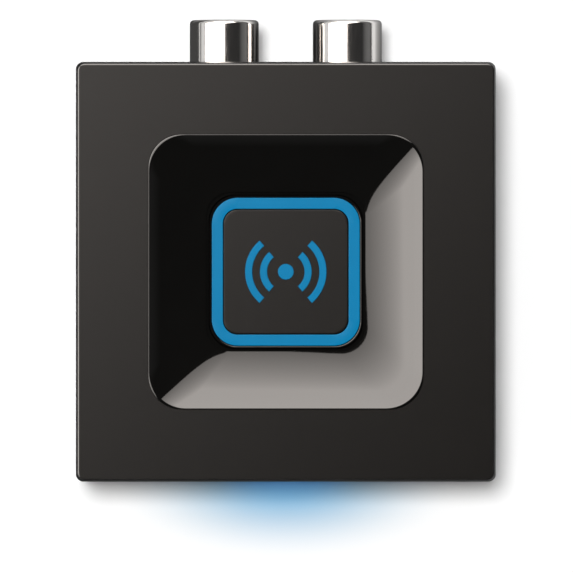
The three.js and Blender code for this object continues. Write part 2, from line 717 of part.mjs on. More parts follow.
const crystal = () =>
  joined(
    raised(roundedShape(5.5, 2.25, 2.2), 0, 0.5, 0, FINE),
    raised(roundedShape(5.0, 1.8, 1.75), 0.4, 3.5, 0, FINE),
  );

const inductor = () =>
  joined(
    raised(roundedShape(2.4, 2.4, 0.6), 0, 0.8),
    post(0, 0, 1.6, 0.7, 2.0, 12),
    raised(roundedShape(2.4, 2.4, 1.1), 1.9, 2.6),
  );

const diode = () =>
  joined(
    blockAt(0, 0, 4.3, 2.6, 0.2, 2.2),
    ...[-1, 1].map((side) => blockAt(side * 2.2, 0, 1.3, 1.6, 0, 0.9)),
  );

const chipResistor = () =>
  joined(
    blockAt(0, 0, 1.5, 1.2, 0.05, 0.5),
    ...[-1, 1].map((side) => blockAt(side * 0.85, 0, 0.35, 1.25, 0, 0.55)),
  );

const statusLed = () => blockAt(0, 0, LED.width, LED.depth, -LED.height, 0);

const RADIO = { x: -12, y: -9, width: 12, depth: 15, thick: 0.8 };

const radioBoard = () => blockAt(0, 0, RADIO.width, RADIO.depth, 0, RADIO.thick);

// The shield is a drawn can with a rounded lid, open underneath.
function radioShield() {
  const low = RADIO.thick + GAP;
  return carved(
    raised(roundedShape(4.8, 4.3, 0.5), low, low + 1.7),
    raised(roundedShape(4.6, 4.1, 0.4), low - 1, low + 1.5),
  ).translate(0, 2.4, 0);
}

// The printed antenna: a copper track that folds to and fro across the end of the radio board.
function radioAntenna() {
  const low = RADIO.thick + 0.02;
  const high = low + 0.1;
  const fold = { count: 6, pitch: 1.6, width: 0.5, length: 3.0, y: -5.4 };
  const left = (-fold.count * fold.pitch) / 2;
  const runs = Array.from({ length: fold.count + 1 }, (_, i) =>
    blockAt(left + i * fold.pitch, fold.y, fold.width, fold.length, low, high),
  );
  const turns = Array.from({ length: fold.count }, (_, i) => {
    const y = fold.y + ((i % 2 ? -1 : 1) * fold.length) / 2;
    return blockAt(left + (i + 0.5) * fold.pitch, y, fold.pitch + fold.width, fold.width, low, high);
  });
  return joined(...runs, ...turns);
}

// ---------------------------------------------------------------- assembly

function casing() {
  const group = new THREE.Group();
  addPart(group, "top_housing", topHousing(), softBlack);
  addPart(group, "base_cover", baseCover(), baseBlack);
  addPart(group, "base_pad", basePad(), rubber);
  addPart(group, "dish_bezel", dishBezel(), glossBlack);
  addPart(group, "light_guide", lightGuide(), clear);
  SCREW_SPOTS.forEach(([x, y], i) => addPart(group, `base_screw_${i + 1}`, baseScrew(), steel, [x, y, 0]));
  return group;
}

function button() {
  const group = new THREE.Group();
  addPart(group, "button_carrier", buttonCarrier(), glossBlack);
  addPart(group, "button_ring", buttonRing(), blue);
  addPart(group, "button_cap", buttonCap(), capBlack);
  addPart(group, "button_icon", buttonIcon(), blue);
  return group;
}

function sockets() {
  const group = new THREE.Group();
  addPart(group, "rear_panel", rearPanel(), glossBlack);
  addPart(group, "phono_block", phonoBlock(), jackBlack);
  const colours = { left: whitePlastic, right: redPlastic };
  Object.entries(colours).forEach(([side, colour]) => {
    const axis = [side === "left" ? -PHONO_X : PHONO_X, SOCKET_FACE, PHONO_HEIGHT];
    addPart(group, `phono_shell_${side}`, phonoShell(), nickel, axis);
    addPart(group, `phono_insulator_${side}`, phonoInsulator(), colour, axis);
    addPart(group, `phono_contact_${side}`, phonoContact(), nickel, axis);
  });

  const audioAxis = [-SMALL_JACK_X, SOCKET_FACE, SMALL_JACK_HEIGHT];
  addPart(group, "audio_jack_body", audioJackBody(), jackBlack, audioAxis);
  addPart(group, "audio_jack_ferrule", jackNose(AUDIO.bore), nickel, audioAxis);
  Object.entries(LEAF_SPOTS).forEach(([name, y], i) => {
    const position = [-SMALL_JACK_X, SOCKET_FACE + y, SMALL_JACK_HEIGHT];
    addPart(group, name, leafContact(leafSide(i)), gold, position);
  });

  const powerAxis = [SMALL_JACK_X, SOCKET_FACE, SMALL_JACK_HEIGHT];
  addPart(group, "power_jack_body", powerJackBody(), jackBlack, powerAxis);
  addPart(group, "power_jack_nose", jackNose(POWER.bore), jackBlack, powerAxis);
  addPart(group, "power_jack_pin", powerPin(), nickel, powerAxis);
  addPart(group, "power_jack_spring", powerSpring(), gold, powerAxis);
  return group;
}

function electronics() {
  const group = new THREE.Group();
  const onBoard = (x, y) => [x, y, BOARD_TOP + GAP];
  addPart(group, "main_board", mainBoard(), boardGreen);
  addPart(group, "switch_body", switchBody(), jackBlack);
  addPart(group, "switch_frame", switchFrame(), tin);
  addPart(group, "switch_dome", switchDome(), steel);
  addPart(group, "switch_plunger", switchPlunger(), chipBlack);

  const radio = new THREE.Group();
  radio.position.set(...onBoard(RADIO.x, RADIO.y));
  addPart(radio, "radio_board", radioBoard(), boardGreen);
  addPart(radio, "radio_shield", radioShield(), tin);
  addPart(radio, "radio_antenna", radioAntenna(), gold);
  group.add(radio);

  addPart(group, "converter_chip", chip(5.0, 4.4, 1.1, 7, 0.65), chipBlack, onBoard(8.2, -9.6));
  addPart(group, "amplifier_chip", chip(4.9, 3.9, 1.5, 4, 1.27), chipBlack, onBoard(8.6, 4.2));
  addPart(group, "voltage_regulator", regulator(), chipBlack, onBoard(16.6, -2.4));
  addPart(group, "crystal", crystal(), tin, onBoard(0.2, -15.6));
  addPart(group, "inductor", inductor(), chipBlack, onBoard(18.2, -8.6));
  addPart(group, "protection_diode", diode(), chipBlack, onBoard(14.6, 5.2));
  const capSpots = [
    [15.0, -14.2],
    [9.0, -16.4],
    [-9.4, 5.6],
    [-15.4, 3.4],
  ];
  capSpots.forEach(([x, y], i) => {
    addPart(group, `capacitor_${i + 1}`, capacitor(), aluminium, onBoard(x, y));
  });
  const resistorSpots = [
    [3.6, -5.2],
    [3.6, -7.4],
    [12.8, -8.2],
    [12.8, -10.4],
    [4.2, 6.6],
    [-4.2, 6.6],
    [-3.6, -8.6],
  ];
  resistorSpots.forEach(([x, y], i) => {
    addPart(group, `resistor_${i + 1}`, chipResistor(), ceramicTan, onBoard(x, y));
  });
  addPart(group, "status_led", statusLed(), whitePlastic, [0, LED.y, BOARD_BOTTOM - GAP]);
  return group;
}

const receiver = new THREE.Group();
receiver.add(casing(), button(), sockets(), electronics());

export default receiver;
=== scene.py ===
import math

import bmesh
import bpy
from mathutils import Matrix, Vector


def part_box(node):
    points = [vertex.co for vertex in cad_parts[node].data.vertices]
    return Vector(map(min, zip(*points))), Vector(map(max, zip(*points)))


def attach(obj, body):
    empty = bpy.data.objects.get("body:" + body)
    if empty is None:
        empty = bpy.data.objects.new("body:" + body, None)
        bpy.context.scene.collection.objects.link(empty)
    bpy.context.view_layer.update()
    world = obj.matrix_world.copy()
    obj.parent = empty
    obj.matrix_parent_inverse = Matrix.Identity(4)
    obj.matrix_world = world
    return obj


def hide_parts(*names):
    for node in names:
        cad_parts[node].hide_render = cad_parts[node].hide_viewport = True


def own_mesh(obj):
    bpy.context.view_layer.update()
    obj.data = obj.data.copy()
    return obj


# A desktop wireless audio receiver: fine shells, button, sockets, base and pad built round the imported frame,
# with a procedural material for every piece. Shapes are drawn in millimetres with Z up and the rear at +Y,
# and scaled to metres at the end.

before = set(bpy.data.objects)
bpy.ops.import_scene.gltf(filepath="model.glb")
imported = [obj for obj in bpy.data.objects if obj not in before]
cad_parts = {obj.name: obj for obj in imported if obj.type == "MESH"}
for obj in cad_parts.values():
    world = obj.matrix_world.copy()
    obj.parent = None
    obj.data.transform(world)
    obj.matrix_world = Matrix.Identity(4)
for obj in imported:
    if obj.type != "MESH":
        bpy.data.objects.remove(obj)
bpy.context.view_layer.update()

MM = 0.001


def box_of(node):
    """The lowest and highest corner of a CAD node, in millimetres."""
    low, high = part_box(node)
    return low / MM, high / MM


# ---------------------------------------------------------------- sizes taken from the frame

HOUSING_LOW, HOUSING_HIGH = box_of("top_housing")
BODY_HALF = HOUSING_HIGH.x
TOP = HOUSING_HIGH.z
PARTING = HOUSING_LOW.z
BASE_LOW, BASE_HIGH = box_of("base_cover")
BASE_HALF = -BASE_LOW.y
BASE_BOTTOM = BASE_LOW.z
SILL_TOP = BASE_HIGH.z
SILL_HALF_DEPTH = BASE_HIGH.y
PAD_HIGH = box_of("base_pad")[1]
BEZEL_LOW, BEZEL_HIGH = box_of("dish_bezel")
RIM_TOP = BEZEL_HIGH.z
COLLAR_BOTTOM = BEZEL_LOW.z
CARRIER_LOW, CARRIER_HIGH = box_of("button_carrier")
BUTTON_TOP = CARRIER_HIGH.z
RING_LOW, RING_HIGH = box_of("button_ring")
CAP_LOW, CAP_HIGH = box_of("button_cap")
ICON_LOW, ICON_HIGH = box_of("button_icon")
PANEL_LOW, PANEL_HIGH = box_of("rear_panel")
GUIDE_LOW, GUIDE_HIGH = box_of("light_guide")
SCREW_NODES = [name for name in sorted(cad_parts) if name.startswith("base_screw")]

# ---------------------------------------------------------------- sizes inside those boxes, in millimetres

GAP = 0.05  # clearance between pieces that touch
SEAM = 0.02  # joint line between the housing and the bezel
SLIDE = 0.15  # running gap round the button
OVER = 1.0  # how far a cutting tool reaches past what it cuts

WALL = 2.0  # thickness of the housing's walls and roof
ROOF = TOP - WALL
INSIDE = BODY_HALF - WALL
CORNER = 0.9  # radius of the upright corners
EDGE = 0.27  # rounding of the housing's top edge
DRAFT = 0.18  # how far the wall leans in over its shoulder
SHOULDER = 1.0  # height of that leaning stretch

BASE_FLOOR = 3.0  # upper face of the base plate
BASE_ROOT = 2.5  # where the pieces that stand on the base plate start, inside it
BOARD_SEAT = 4.95  # top of the base's rim and stands, which carry the board
PAD_CORNER = 5.0
BOSS_RADIUS = 2.4  # of the housing's screw bosses
PILOT_RADIUS = 1.0

RIM_HALF = 16.62  # half width of the bezel's proud rim
RIM_CORNER = 4.0
CREST_CORNER = 4.45  # corner radius of the rim's crest, where it turns down into the dish
RIM_ROUND = 0.08
DISH_OUTER = math.radians(32.5)  # slope of the dish at the rim
DISH_INNER = math.radians(3)  # slope of the dish beside the button
DISH_START = 9.66  # half width of the dish's inner edge, across the shadow gap from the button
DISH_START_CORNER = 3.0
SHADOW_GAP_DEPTH = 1.0

BUTTON_HALF = 9.2
BUTTON_CORNER = 3.1
RING_CORNER = 3.15
RING_INNER = 7.6  # half width of the ring's opening
CAP_CORNER = 1.65

BAY_HALF = 22.0  # half width of the rear bay
BAY_TOP = 18.6
PANEL_LAP = 0.6  # how far the panel reaches past the bay's opening
PHONO_X = 7.5
PHONO_HEIGHT = 12.0
PHONO_RADIUS = 4.2
SMALL_JACK_X = 17.2
SMALL_JACK_HEIGHT = 9.8
SMALL_JACK_RADIUS = 3.0
SOCKET_FACE = PANEL_LOW.y - 2 * GAP  # front of the socket bodies, just inside the panel

# ---------------------------------------------------------------- shape helpers

CORNER_STEPS = 16
CIRCLE_STEPS = 96


def softened(corners, steps=5, closed=True):
    """Points (u, v, index of the corner) of an outline whose (u, v, radius) corners are rounded."""
    made = []
    count = len(corners)
    for i, (u, v, radius) in enumerate(corners):
        here = Vector((u, v))
        if not radius or (not closed and i in (0, count - 1)):
            made.append((u, v, i))
            continue
        before = (Vector(corners[i - 1][:2]) - here).normalized()
        after = (Vector(corners[(i + 1) % count][:2]) - here).normalized()
        half_angle = before.angle(after) / 2
        middle = here + (before + after).normalized() * (radius / math.sin(half_angle))
        spoke = here + before * (radius / math.tan(half_angle)) - middle
        last = here + after * (radius / math.tan(half_angle)) - middle
        sweep = math.atan2(spoke.x * last.y - spoke.y * last.x, spoke.dot(last))
        for k in range(steps + 1):
            point = middle + Matrix.Rotation(sweep * k / steps, 2) @ spoke
            made.append((point.x, point.y, i))
    return made


def square(half, corner, z, steps=CORNER_STEPS):
    """A rounded square about the Z axis, as a ring of points."""
    ring = []
    for side in range(4):
        turn = side * math.pi / 2
        middle = Matrix.Rotation(turn, 2) @ Vector((half - corner, half - corner))
        for k in range(steps + 1):
            angle = turn + k / steps * math.pi / 2
            ring.append((middle.x + corner * math.cos(angle), middle.y + corner * math.sin(angle), z))
    return ring


def circle(radius, z, steps=CIRCLE_STEPS):
    """A circle about the Z axis, as a ring of points."""
    angles = [2 * math.pi * k / steps for k in range(steps)]
    return [(radius * math.cos(a), radius * math.sin(a), z) for a in angles]


def loft(name, rings, closed=False):
    """Joins rings of points in turn. A closed loft runs back to its first ring, an open one gets two ends."""
    count = len(rings[0])
    faces = []
    for i in range(len(rings) if closed else len(rings) - 1):
        a, b = i * count, (i + 1) % len(rings) * count
        for k in range(count):
            after = (k + 1) % count
            faces.append((a + k, a + after, b + after, b + k))
    if not closed:
        faces.append(tuple(reversed(range(count))))
        faces.append(tuple(range((len(rings) - 1) * count, len(rings) * count)))
    mesh = bpy.data.meshes.new(name)
    mesh.from_pydata([point for ring in rings for point in ring], [], faces)
    work = bmesh.new()
    work.from_mesh(mesh)
    bmesh.ops.recalc_face_normals(work, faces=work.faces)
    work.to_mesh(mesh)
    work.free()
    piece = bpy.data.objects.new(name, mesh)
    bpy.context.scene.collection.objects.link(piece)
    return piece


def squares(name, stations, closed=True, steps=5):
    """A loft through rounded squares: (half width, corner radius, height, rounding there)."""
    path = softened([(half, z, soft) for half, _, z, soft in stations], steps, closed)
    rings = [square(u, max(stations[i][1] + u - stations[i][0], 0.02), v) for u, v, i in path]
    return loft(name, rings, closed)


def turned(name, stations, closed=True, steps=5, sides=CIRCLE_STEPS):
    """A solid of revolution about Z through (radius, height, rounding) stations."""
    path = softened(stations, steps, closed)
    return loft(name, [circle(u, v, sides) for u, v, _ in path], closed)


def extruded(name, outline, low, high):
    """A flat outline raised from low to high."""
    return loft(name, [[(x, y, z) for x, y in outline] for z in (low, high)])


def block(name, low, high, edge=0.0, steps=3):
    """A box between two corners, with its edges rounded."""
    outline = [(low[0], low[1]), (high[0], low[1]), (high[0], high[1]), (low[0], high[1])]
    made = extruded(name, outline, low[2], high[2])
    return bevelled(made, edge, steps) if edge else made


def applied(piece):
    """Makes the piece's modifiers part of its mesh."""
    graph = bpy.context.evaluated_depsgraph_get()
    mesh = bpy.data.meshes.new_from_object(piece.evaluated_get(graph))
    piece.modifiers.clear()
    piece.data = mesh
    return piece


def bevelled(piece, width, steps=3, angle=40):
    """Rounds every edge that turns by more than an angle."""
    bevel = piece.modifiers.new("bevel", "BEVEL")
    bevel.width = width
    bevel.segments = steps
    bevel.limit_method = "ANGLE"
    bevel.angle_limit = math.radians(angle)
    bevel.use_clamp_overlap = True
    return applied(piece)


def combined(piece, tools, operation):
    """Joins tools to a piece, or cuts them out of it, and deletes them."""
    for tool in tools:
        boolean = piece.modifiers.new("combine", "BOOLEAN")
        boolean.operation = operation
        boolean.object = tool
        boolean.solver = "MANIFOLD"
        applied(piece)
        bpy.data.objects.remove(tool)
    return piece


def joined(piece, *tools):
    """The piece with the tools added to it."""
    return combined(piece, tools, "UNION")


def carved(piece, *tools):
    """The piece with the tools cut out of it."""
    return combined(piece, tools, "DIFFERENCE")


def moved(piece, x, y):
    """Moves a piece in plan."""
    piece.data.transform(Matrix.Translation((x, y, 0)))
    return piece


def along_y(piece, x, y, z):
    """Lays a piece that was made upright along +Y, from a point."""
    piece.data.transform(Matrix.Translation((x, y, z)) @ Matrix.Rotation(-math.pi / 2, 4, "X"))
    return piece


def spun(piece, angle):
    """Turns a piece about Z."""
    piece.data.transform(Matrix.Rotation(angle, 4, "Z"))
    return piece


def refinished(piece, material, chosen):
    """Gives the faces that chosen(centre in millimetres, normal) picks out a second material."""
    piece.data.materials.append(material)
    for face in piece.data.polygons:
        if chosen(face.center / MM, face.normal):
            face.material_index = 1
    return piece


def fitted(piece, body, nodes, material, sharp=34):
    """Finishes a piece: scales it to metres, smooths it, and ties it to the frame."""
    piece.data.transform(Matrix.Scale(MM, 4))
    piece.data.shade_smooth()
    piece.data.set_sharp_from_angle(angle=math.radians(sharp))
    weighted = piece.modifiers.new("normals", "WEIGHTED_NORMAL")
    weighted.keep_sharp = True
    applied(piece)
    piece.data.materials.clear()
    piece.data.materials.append(material)
    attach(piece, body)
    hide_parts(*nodes)
    return piece


# ---------------------------------------------------------------- node and material helpers

PLASTIC_IOR = 1.5


def map_range(tree, source, start, end, low, high, smooth=False):
    """A value mapped from start..end to low..high, and held at those outside them."""
    node = tree.nodes.new("ShaderNodeMapRange")
    node.interpolation_type = "SMOOTHSTEP" if smooth else "LINEAR"
    for socket, value in zip(("From Min", "From Max", "To Min", "To Max"), (start, end, low, high)):
        node.inputs[socket].default_value = value
    tree.links.new(source, node.inputs["Value"])
    return node.outputs["Result"]


def value_math(tree, operation, *terms):
    """A Math node's result; each term is a number or another node's output."""
    node = tree.nodes.new("ShaderNodeMath")
    node.operation = operation
    for socket, term in zip(node.inputs, terms):
        if isinstance(term, float):
            socket.default_value = term
        else:
            tree.links.new(term, socket)
    return node.outputs["Value"]


def vector_math(tree, operation, source, other=None):
    """A Vector Math node's value, for a vector output and a fixed second vector."""
    node = tree.nodes.new("ShaderNodeVectorMath")
    node.operation = operation
    tree.links.new(source, node.inputs[0])
    if other is not None:
        node.inputs[1].default_value = other
    return node.outputs["Value"]


def switched(tree, factor, off, on, output):
    """Feeds an output with one shader where the factor is 0 and another where it is 1."""
    either = tree.nodes.new("ShaderNodeMixShader")
    tree.links.new(factor, either.inputs["Fac"])
    tree.links.new(off, either.inputs[1])
    tree.links.new(on, either.inputs[2])
    tree.links.new(either.outputs["Shader"], output.inputs["Surface"])


class Finish:
    """A Principled material with textures placed by the object's own coordinates."""

    def __init__(self, name, colour, roughness, metallic=0.0):
        self.material = bpy.data.materials.new(name)
        self.material.use_nodes = True
        self.tree = self.material.node_tree
        self.nodes = self.tree.nodes
        self.links = self.tree.links
        self.shader = self.nodes["Principled BSDF"]
        self.shader.inputs["Base Color"].default_value = (*colour, 1)
        self.shader.inputs["Roughness"].default_value = roughness
        self.shader.inputs["Metallic"].default_value = metallic
        self.shader.inputs["IOR"].default_value = PLASTIC_IOR
        self.place = self.nodes.new("ShaderNodeTexCoord").outputs["Object"]

    def noise(self, size, detail=3.0, stretch=(1, 1, 1)):
        """Noise whose blobs are about size millimetres across."""
        mapping = self.nodes.new("ShaderNodeMapping")
        mapping.inputs["Scale"].default_value = stretch
        texture = self.nodes.new("ShaderNodeTexNoise")
        texture.inputs["Scale"].default_value = 1 / (size * MM)
        texture.inputs["Detail"].default_value = detail
        self.links.new(self.place, mapping.inputs["Vector"])
        self.links.new(mapping.outputs["Vector"], texture.inputs["Vector"])
        return texture.outputs["Fac"]

    def cells(self, size, feature="F1"):
        """Cells about size millimetres across."""
        texture = self.nodes.new("ShaderNodeTexVoronoi")
        texture.feature = feature
        texture.inputs["Scale"].default_value = 1 / (size * MM)
        self.links.new(self.place, texture.inputs["Vector"])
        return texture.outputs["Distance"]

    def colours(self, factor, first, second):
        """Blends two colours by a factor and drives the base colour."""
        mix = self.nodes.new("ShaderNodeMix")
        mix.data_type = "RGBA"
        mix.inputs["A"].default_value = (*first, 1)
        mix.inputs["B"].default_value = (*second, 1)
        self.links.new(factor, mix.inputs["Factor"])
        self.links.new(mix.outputs["Result"], self.shader.inputs["Base Color"])
        return mix

    def roughness(self, factor, low, high, start=0.3, end=0.7):
        """Drives the roughness from low to high as the factor goes from start to end."""
        self.links.new(map_range(self.tree, factor, start, end, low, high), self.shader.inputs["Roughness"])

    def bumps(self, *layers):
        """Bump layers, each (height output, depth in millimetres)."""
        normal = None
        for height, depth in layers:
            bump = self.nodes.new("ShaderNodeBump")
            bump.inputs["Distance"].default_value = depth * MM
            self.links.new(height, bump.inputs["Height"])
            if normal:
                self.links.new(normal, bump.inputs["Normal"])
            normal = bump.outputs["Normal"]
        self.links.new(normal, self.shader.inputs["Normal"])


def shade(colour, factor):
    """A colour made darker or lighter."""
    return tuple(c * factor for c in colour)


# ---------------------------------------------------------------- materials


def matt_plastic(name, colour, roughness, grain=0.11, depth=0.0016, gloss=0.5):
    """Spark-eroded plastic: fine even grain and faint clouds of tone."""
    finish = Finish(name, colour, roughness)
    finish.shader.inputs["Specular IOR Level"].default_value = gloss
    finish.colours(finish.noise(6.0, 4.0), shade(colour, 0.82), shade(colour, 1.2))
    finish.roughness(finish.noise(0.5, 2.0), roughness - 0.012, roughness + 0.012)
    finish.bumps((finish.noise(grain, 2.0), depth), (finish.cells(grain * 2.2), depth * 0.6))
    return finish.material


def gloss_plastic(name, colour, roughness=0.035):
    """Polished moulding: hairline scratches that run one way, and a trace of dust in the gloss."""
    finish = Finish(name, colour, roughness)
    finish.colours(finish.noise(9.0), shade(colour, 0.8), shade(colour, 1.25))
    scratches = finish.noise(0.5, 6.0, (1.0, 14.0, 1.0))
    finish.roughness(scratches, roughness * 0.8, roughness * 1.7, 0.45, 0.8)
    finish.bumps((finish.noise(5.0, 1.0), 0.0006))
    return finish.material


def etched_plastic(name, colour):
    """A sliding face that has been etched dead matt."""
    finish = Finish(name, colour, 0.9)
    finish.colours(finish.noise(2.0, 4.0), shade(colour, 0.8), shade(colour, 1.25))
    finish.bumps((finish.noise(0.08, 2.0), 0.002))
    finish.shader.inputs["Specular IOR Level"].default_value = 0.0
    return finish.material


def satin_plastic(name, colour, roughness, painted_glow=0.0, gloss=0.5):
    """Smooth dyed plastic with a soft sheen, and if asked a faint painted glow in its own colour, though it is
    no lamp.
    """
    finish = Finish(name, colour, roughness)
    mix = finish.colours(finish.noise(3.5, 4.0), shade(colour, 0.93), shade(colour, 1.07))
    finish.roughness(finish.noise(0.5, 2.0), roughness - 0.015, roughness + 0.015)
    finish.bumps((finish.noise(0.16, 2.0), 0.0008))
    finish.shader.inputs["Specular IOR Level"].default_value = gloss
    # Painted glow: a faint emission in the plastic's own colour; the part is no lamp.
    if painted_glow:
        finish.links.new(mix.outputs["Result"], finish.shader.inputs["Emission Color"])
        finish.shader.inputs["Emission Strength"].default_value = painted_glow
    return finish.material


def metal(name, colour, roughness, brushed=(1, 1, 1), depth=0.0004):
    """Plated or rolled metal, with fine lines along its long stretch and faint tarnish."""
    finish = Finish(name, colour, roughness, metallic=1.0)
    finish.colours(finish.noise(2.2, 5.0), shade(colour, 0.9), shade(colour, 1.04))
    lines = finish.noise(0.25, 4.0, brushed)
    finish.roughness(lines, roughness * 0.8, roughness * 1.35)
    finish.bumps((lines, depth))
    return finish.material


def rubber(name, colour):
    """Moulded silicone rubber: matt, dusty, with a pebbled skin."""
    finish = Finish(name, colour, 0.8)
    finish.colours(finish.noise(4.0, 6.0), shade(colour, 0.75), shade(colour, 1.7))
    finish.roughness(finish.noise(0.8), 0.7, 0.9)
    finish.bumps((finish.cells(0.28), 0.006), (finish.noise(0.07, 2.0), 0.002))
    finish.shader.inputs["Sheen Weight"].default_value = 0.15
    return finish.material


def circuit_board(name, colour):
    """Solder-masked laminate: woven glass under the mask, and the paler lines of tracks."""
    finish = Finish(name, colour, 0.35)
    tracks = finish.nodes.new("ShaderNodeTexBrick")
    tracks.inputs["Scale"].default_value = 1 / (4.0 * MM)
    tracks.inputs["Mortar Size"].default_value = 0.05
    tracks.inputs["Color1"].default_value = (*shade(colour, 0.8), 1)
    tracks.inputs["Color2"].default_value = (*colour, 1)
    tracks.inputs["Mortar"].default_value = (*shade(colour, 1.9), 1)
    finish.links.new(finish.place, tracks.inputs["Vector"])
    finish.links.new(tracks.outputs["Color"], finish.shader.inputs["Base Color"])
    finish.roughness(finish.noise(0.7, 4.0), 0.28, 0.42)
    finish.bumps((tracks.outputs["Fac"], 0.02), (finish.noise(0.3, 3.0), 0.004))
    return finish.material


def lit_guide(name, colour, strength):
    """Frosted clear plastic that glows, strongest at the middle over the lamp."""
    finish = Finish(name, colour, 0.3)
    finish.colours(finish.noise(1.5, 4.0), shade(colour, 0.8), shade(colour, 1.2))
    spread = finish.nodes.new("ShaderNodeSeparateXYZ")
    finish.links.new(finish.place, spread.inputs["Vector"])
    across = value_math(finish.tree, "ABSOLUTE", spread.outputs["X"])
    light = map_range(finish.tree, across, 0.0, GUIDE_HIGH.x * MM, strength, strength * 0.35)
    finish.links.new(light, finish.shader.inputs["Emission Strength"])
    finish.shader.inputs["Emission Color"].default_value = (*colour, 1)
    finish.bumps((finish.noise(0.2, 3.0), 0.004))
    return finish.material


WARM_BLACK = (0.0024, 0.0020, 0.0016)
SOFT_BLACK = matt_plastic("housing soft black", WARM_BLACK, 0.30, gloss=0.24)
EDGE_BLACK = matt_plastic("housing rubbed edge", WARM_BLACK, 0.26, depth=0.0008, gloss=0.72)
BASE_BLACK = matt_plastic("base black", (0.011, 0.0105, 0.0100), 0.58, grain=0.16, depth=0.004)
CAP_BLACK = matt_plastic("cap satin black", WARM_BLACK, 0.30, grain=0.09, depth=0.0010, gloss=0.24)
DISH_BLACK = gloss_plastic("dish gloss black", (0.0030, 0.0028, 0.0025))
BUTTON_BLACK = gloss_plastic("button gloss black", (0.0030, 0.0028, 0.0026), 0.05)
WALL_BLACK = etched_plastic("button wall black", (0.0030, 0.0028, 0.0026))
PANEL_BLACK = gloss_plastic("panel black", (0.0050, 0.0048, 0.0046), 0.12)
# The blue ring and mark carry a faint painted glow; they are no lamp.
BLUE = satin_plastic("button blue", (0.0005, 0.157, 0.326), 0.30, painted_glow=0.04, gloss=0.10)
RED = satin_plastic("socket red", (0.46, 0.012, 0.014), 0.32)
WHITE = satin_plastic("socket white", (0.78, 0.76, 0.72), 0.34)
NICKEL = metal("polished nickel", (0.68, 0.66, 0.64), 0.11, (1.0, 0.1, 1.0))
SHEET_METAL = metal("tinned sheet", (0.62, 0.62, 0.62), 0.28, (0.1, 1.0, 1.0))
SCREW_STEEL = metal("black zinc steel", (0.16, 0.155, 0.15), 0.32)
GOLD = metal("contact gold", (0.83, 0.61, 0.28), 0.2, (1.0, 0.2, 1.0))
CAN = metal("capacitor can", (0.68, 0.68, 0.70), 0.24, (1.0, 1.0, 0.1))
PAD_RUBBER = rubber("pad rubber", (0.016, 0.016, 0.016))
JACK_BLACK = matt_plastic("socket black", (0.011, 0.011, 0.011), 0.42)
CHIP_BLACK = matt_plastic("chip epoxy", (0.013, 0.013, 0.014), 0.6, grain=0.06)
CERAMIC = matt_plastic("resistor ceramic", (0.30, 0.22, 0.13), 0.5, grain=0.05)
BOARD_GREEN = circuit_board("board green", (0.010, 0.085, 0.030))
GUIDE_BLUE = lit_guide("light guide", (0.10, 0.42, 1.0), 1.8)

# ---------------------------------------------------------------- housing, base and pad


def screw_spots():
    """The screws' places in plan."""
    spots = []
    for name in SCREW_NODES:
        low, high = box_of(name)
        spots.append(((low.x + high.x) / 2, (low.y + high.y) / 2))
    return spots


def posts(name, radius, low, high, spots):
    """Upright round posts at each spot."""
    made = []
    for x, y in spots:
        post = turned(name, [(radius, low, 0), (radius, high, 0)], closed=False, sides=48)
        made.append(moved(post, x, y))
    return made


def bay_mouth():
    """The cut for the rear bay, which flares where it meets the housing's rear face."""
    flare, flare_steps = 0.3, 6
    corner = 0.5
    face = BODY_HALF
    rings = [(0.0, PANEL_LOW.y - OVER)]
    for k in range(flare_steps + 1):
        angle = k / flare_steps * math.pi / 2
        grow = flare * (1 - math.cos(angle))
        rings.append((grow, face - flare + flare * math.sin(angle)))
    rings.append((flare, face + OVER))
    low = PARTING - 2 * OVER
    drawn = []
    for grow, y in rings:
        half, top = BAY_HALF + grow, BAY_TOP + grow
        outline = softened([(-half, low, 0), (half, low, 0), (half, top, corner), (-half, top, corner)])
        drawn.append([(x, y, z) for x, z, _ in outline])
    return loft("mouth", drawn)


def housing():
    """The top shell, with its bezel opening, rear bay and screw bosses. Its top edge is rubbed smoother."""
    opening = RIM_HALF + SEAM
    opening_corner = RIM_CORNER + SEAM
    boss_foot = BASE_LOW.z + 2.45
    pilot_end = 10.6
    bay_shelf = 1.8
    shell = squares(
        "housing_shell",
        [
            (BODY_HALF, CORNER, PARTING, 0.15),
            (BODY_HALF, CORNER, TOP - SHOULDER, 0.3),
            (BODY_HALF - DRAFT, CORNER, TOP, EDGE),
            (opening, opening_corner, TOP, 0.03),
            (opening, opening_corner, ROOF, 0),
            (INSIDE, CORNER / 2, ROOF, 0.3),
            (INSIDE, CORNER / 2, PARTING, 0),
        ],
        steps=8,
    )
    bosses = posts("boss", BOSS_RADIUS, boss_foot, ROOF + 0.5, screw_spots())
    pilots = posts("pilot", PILOT_RADIUS, PARTING - 2 * OVER, pilot_end, screw_spots())
    wide = INSIDE + 0.5
    tunnel = block("tunnel", (-wide, PANEL_LOW.y, 5.0), (wide, wide, BAY_TOP + bay_shelf))
    lap, lap_top = BAY_HALF + PANEL_LAP + GAP, BAY_TOP + PANEL_LAP + GAP
    seat = block("seat", (-lap, PANEL_LOW.y - OVER, PARTING - OVER), (lap, PANEL_HIGH.y + GAP, lap_top))
    joined(shell, tunnel, *bosses)
    carved(shell, bay_mouth(), seat, *pilots)
    fitted(shell, "receiver", ["top_housing"], SOFT_BLACK)
    edge_start = BODY_HALF - DRAFT - EDGE
    wall_like, roof_like = 0.62, 0.999  # how far up the outermost and innermost rounded faces point

    def on_top_edge(centre, normal):
        outside = max(abs(centre.x), abs(centre.y)) > edge_start
        return outside and centre.z > TOP - SHOULDER and wall_like < normal.z < roof_like

    return refinished(shell, EDGE_BLACK, on_top_edge)


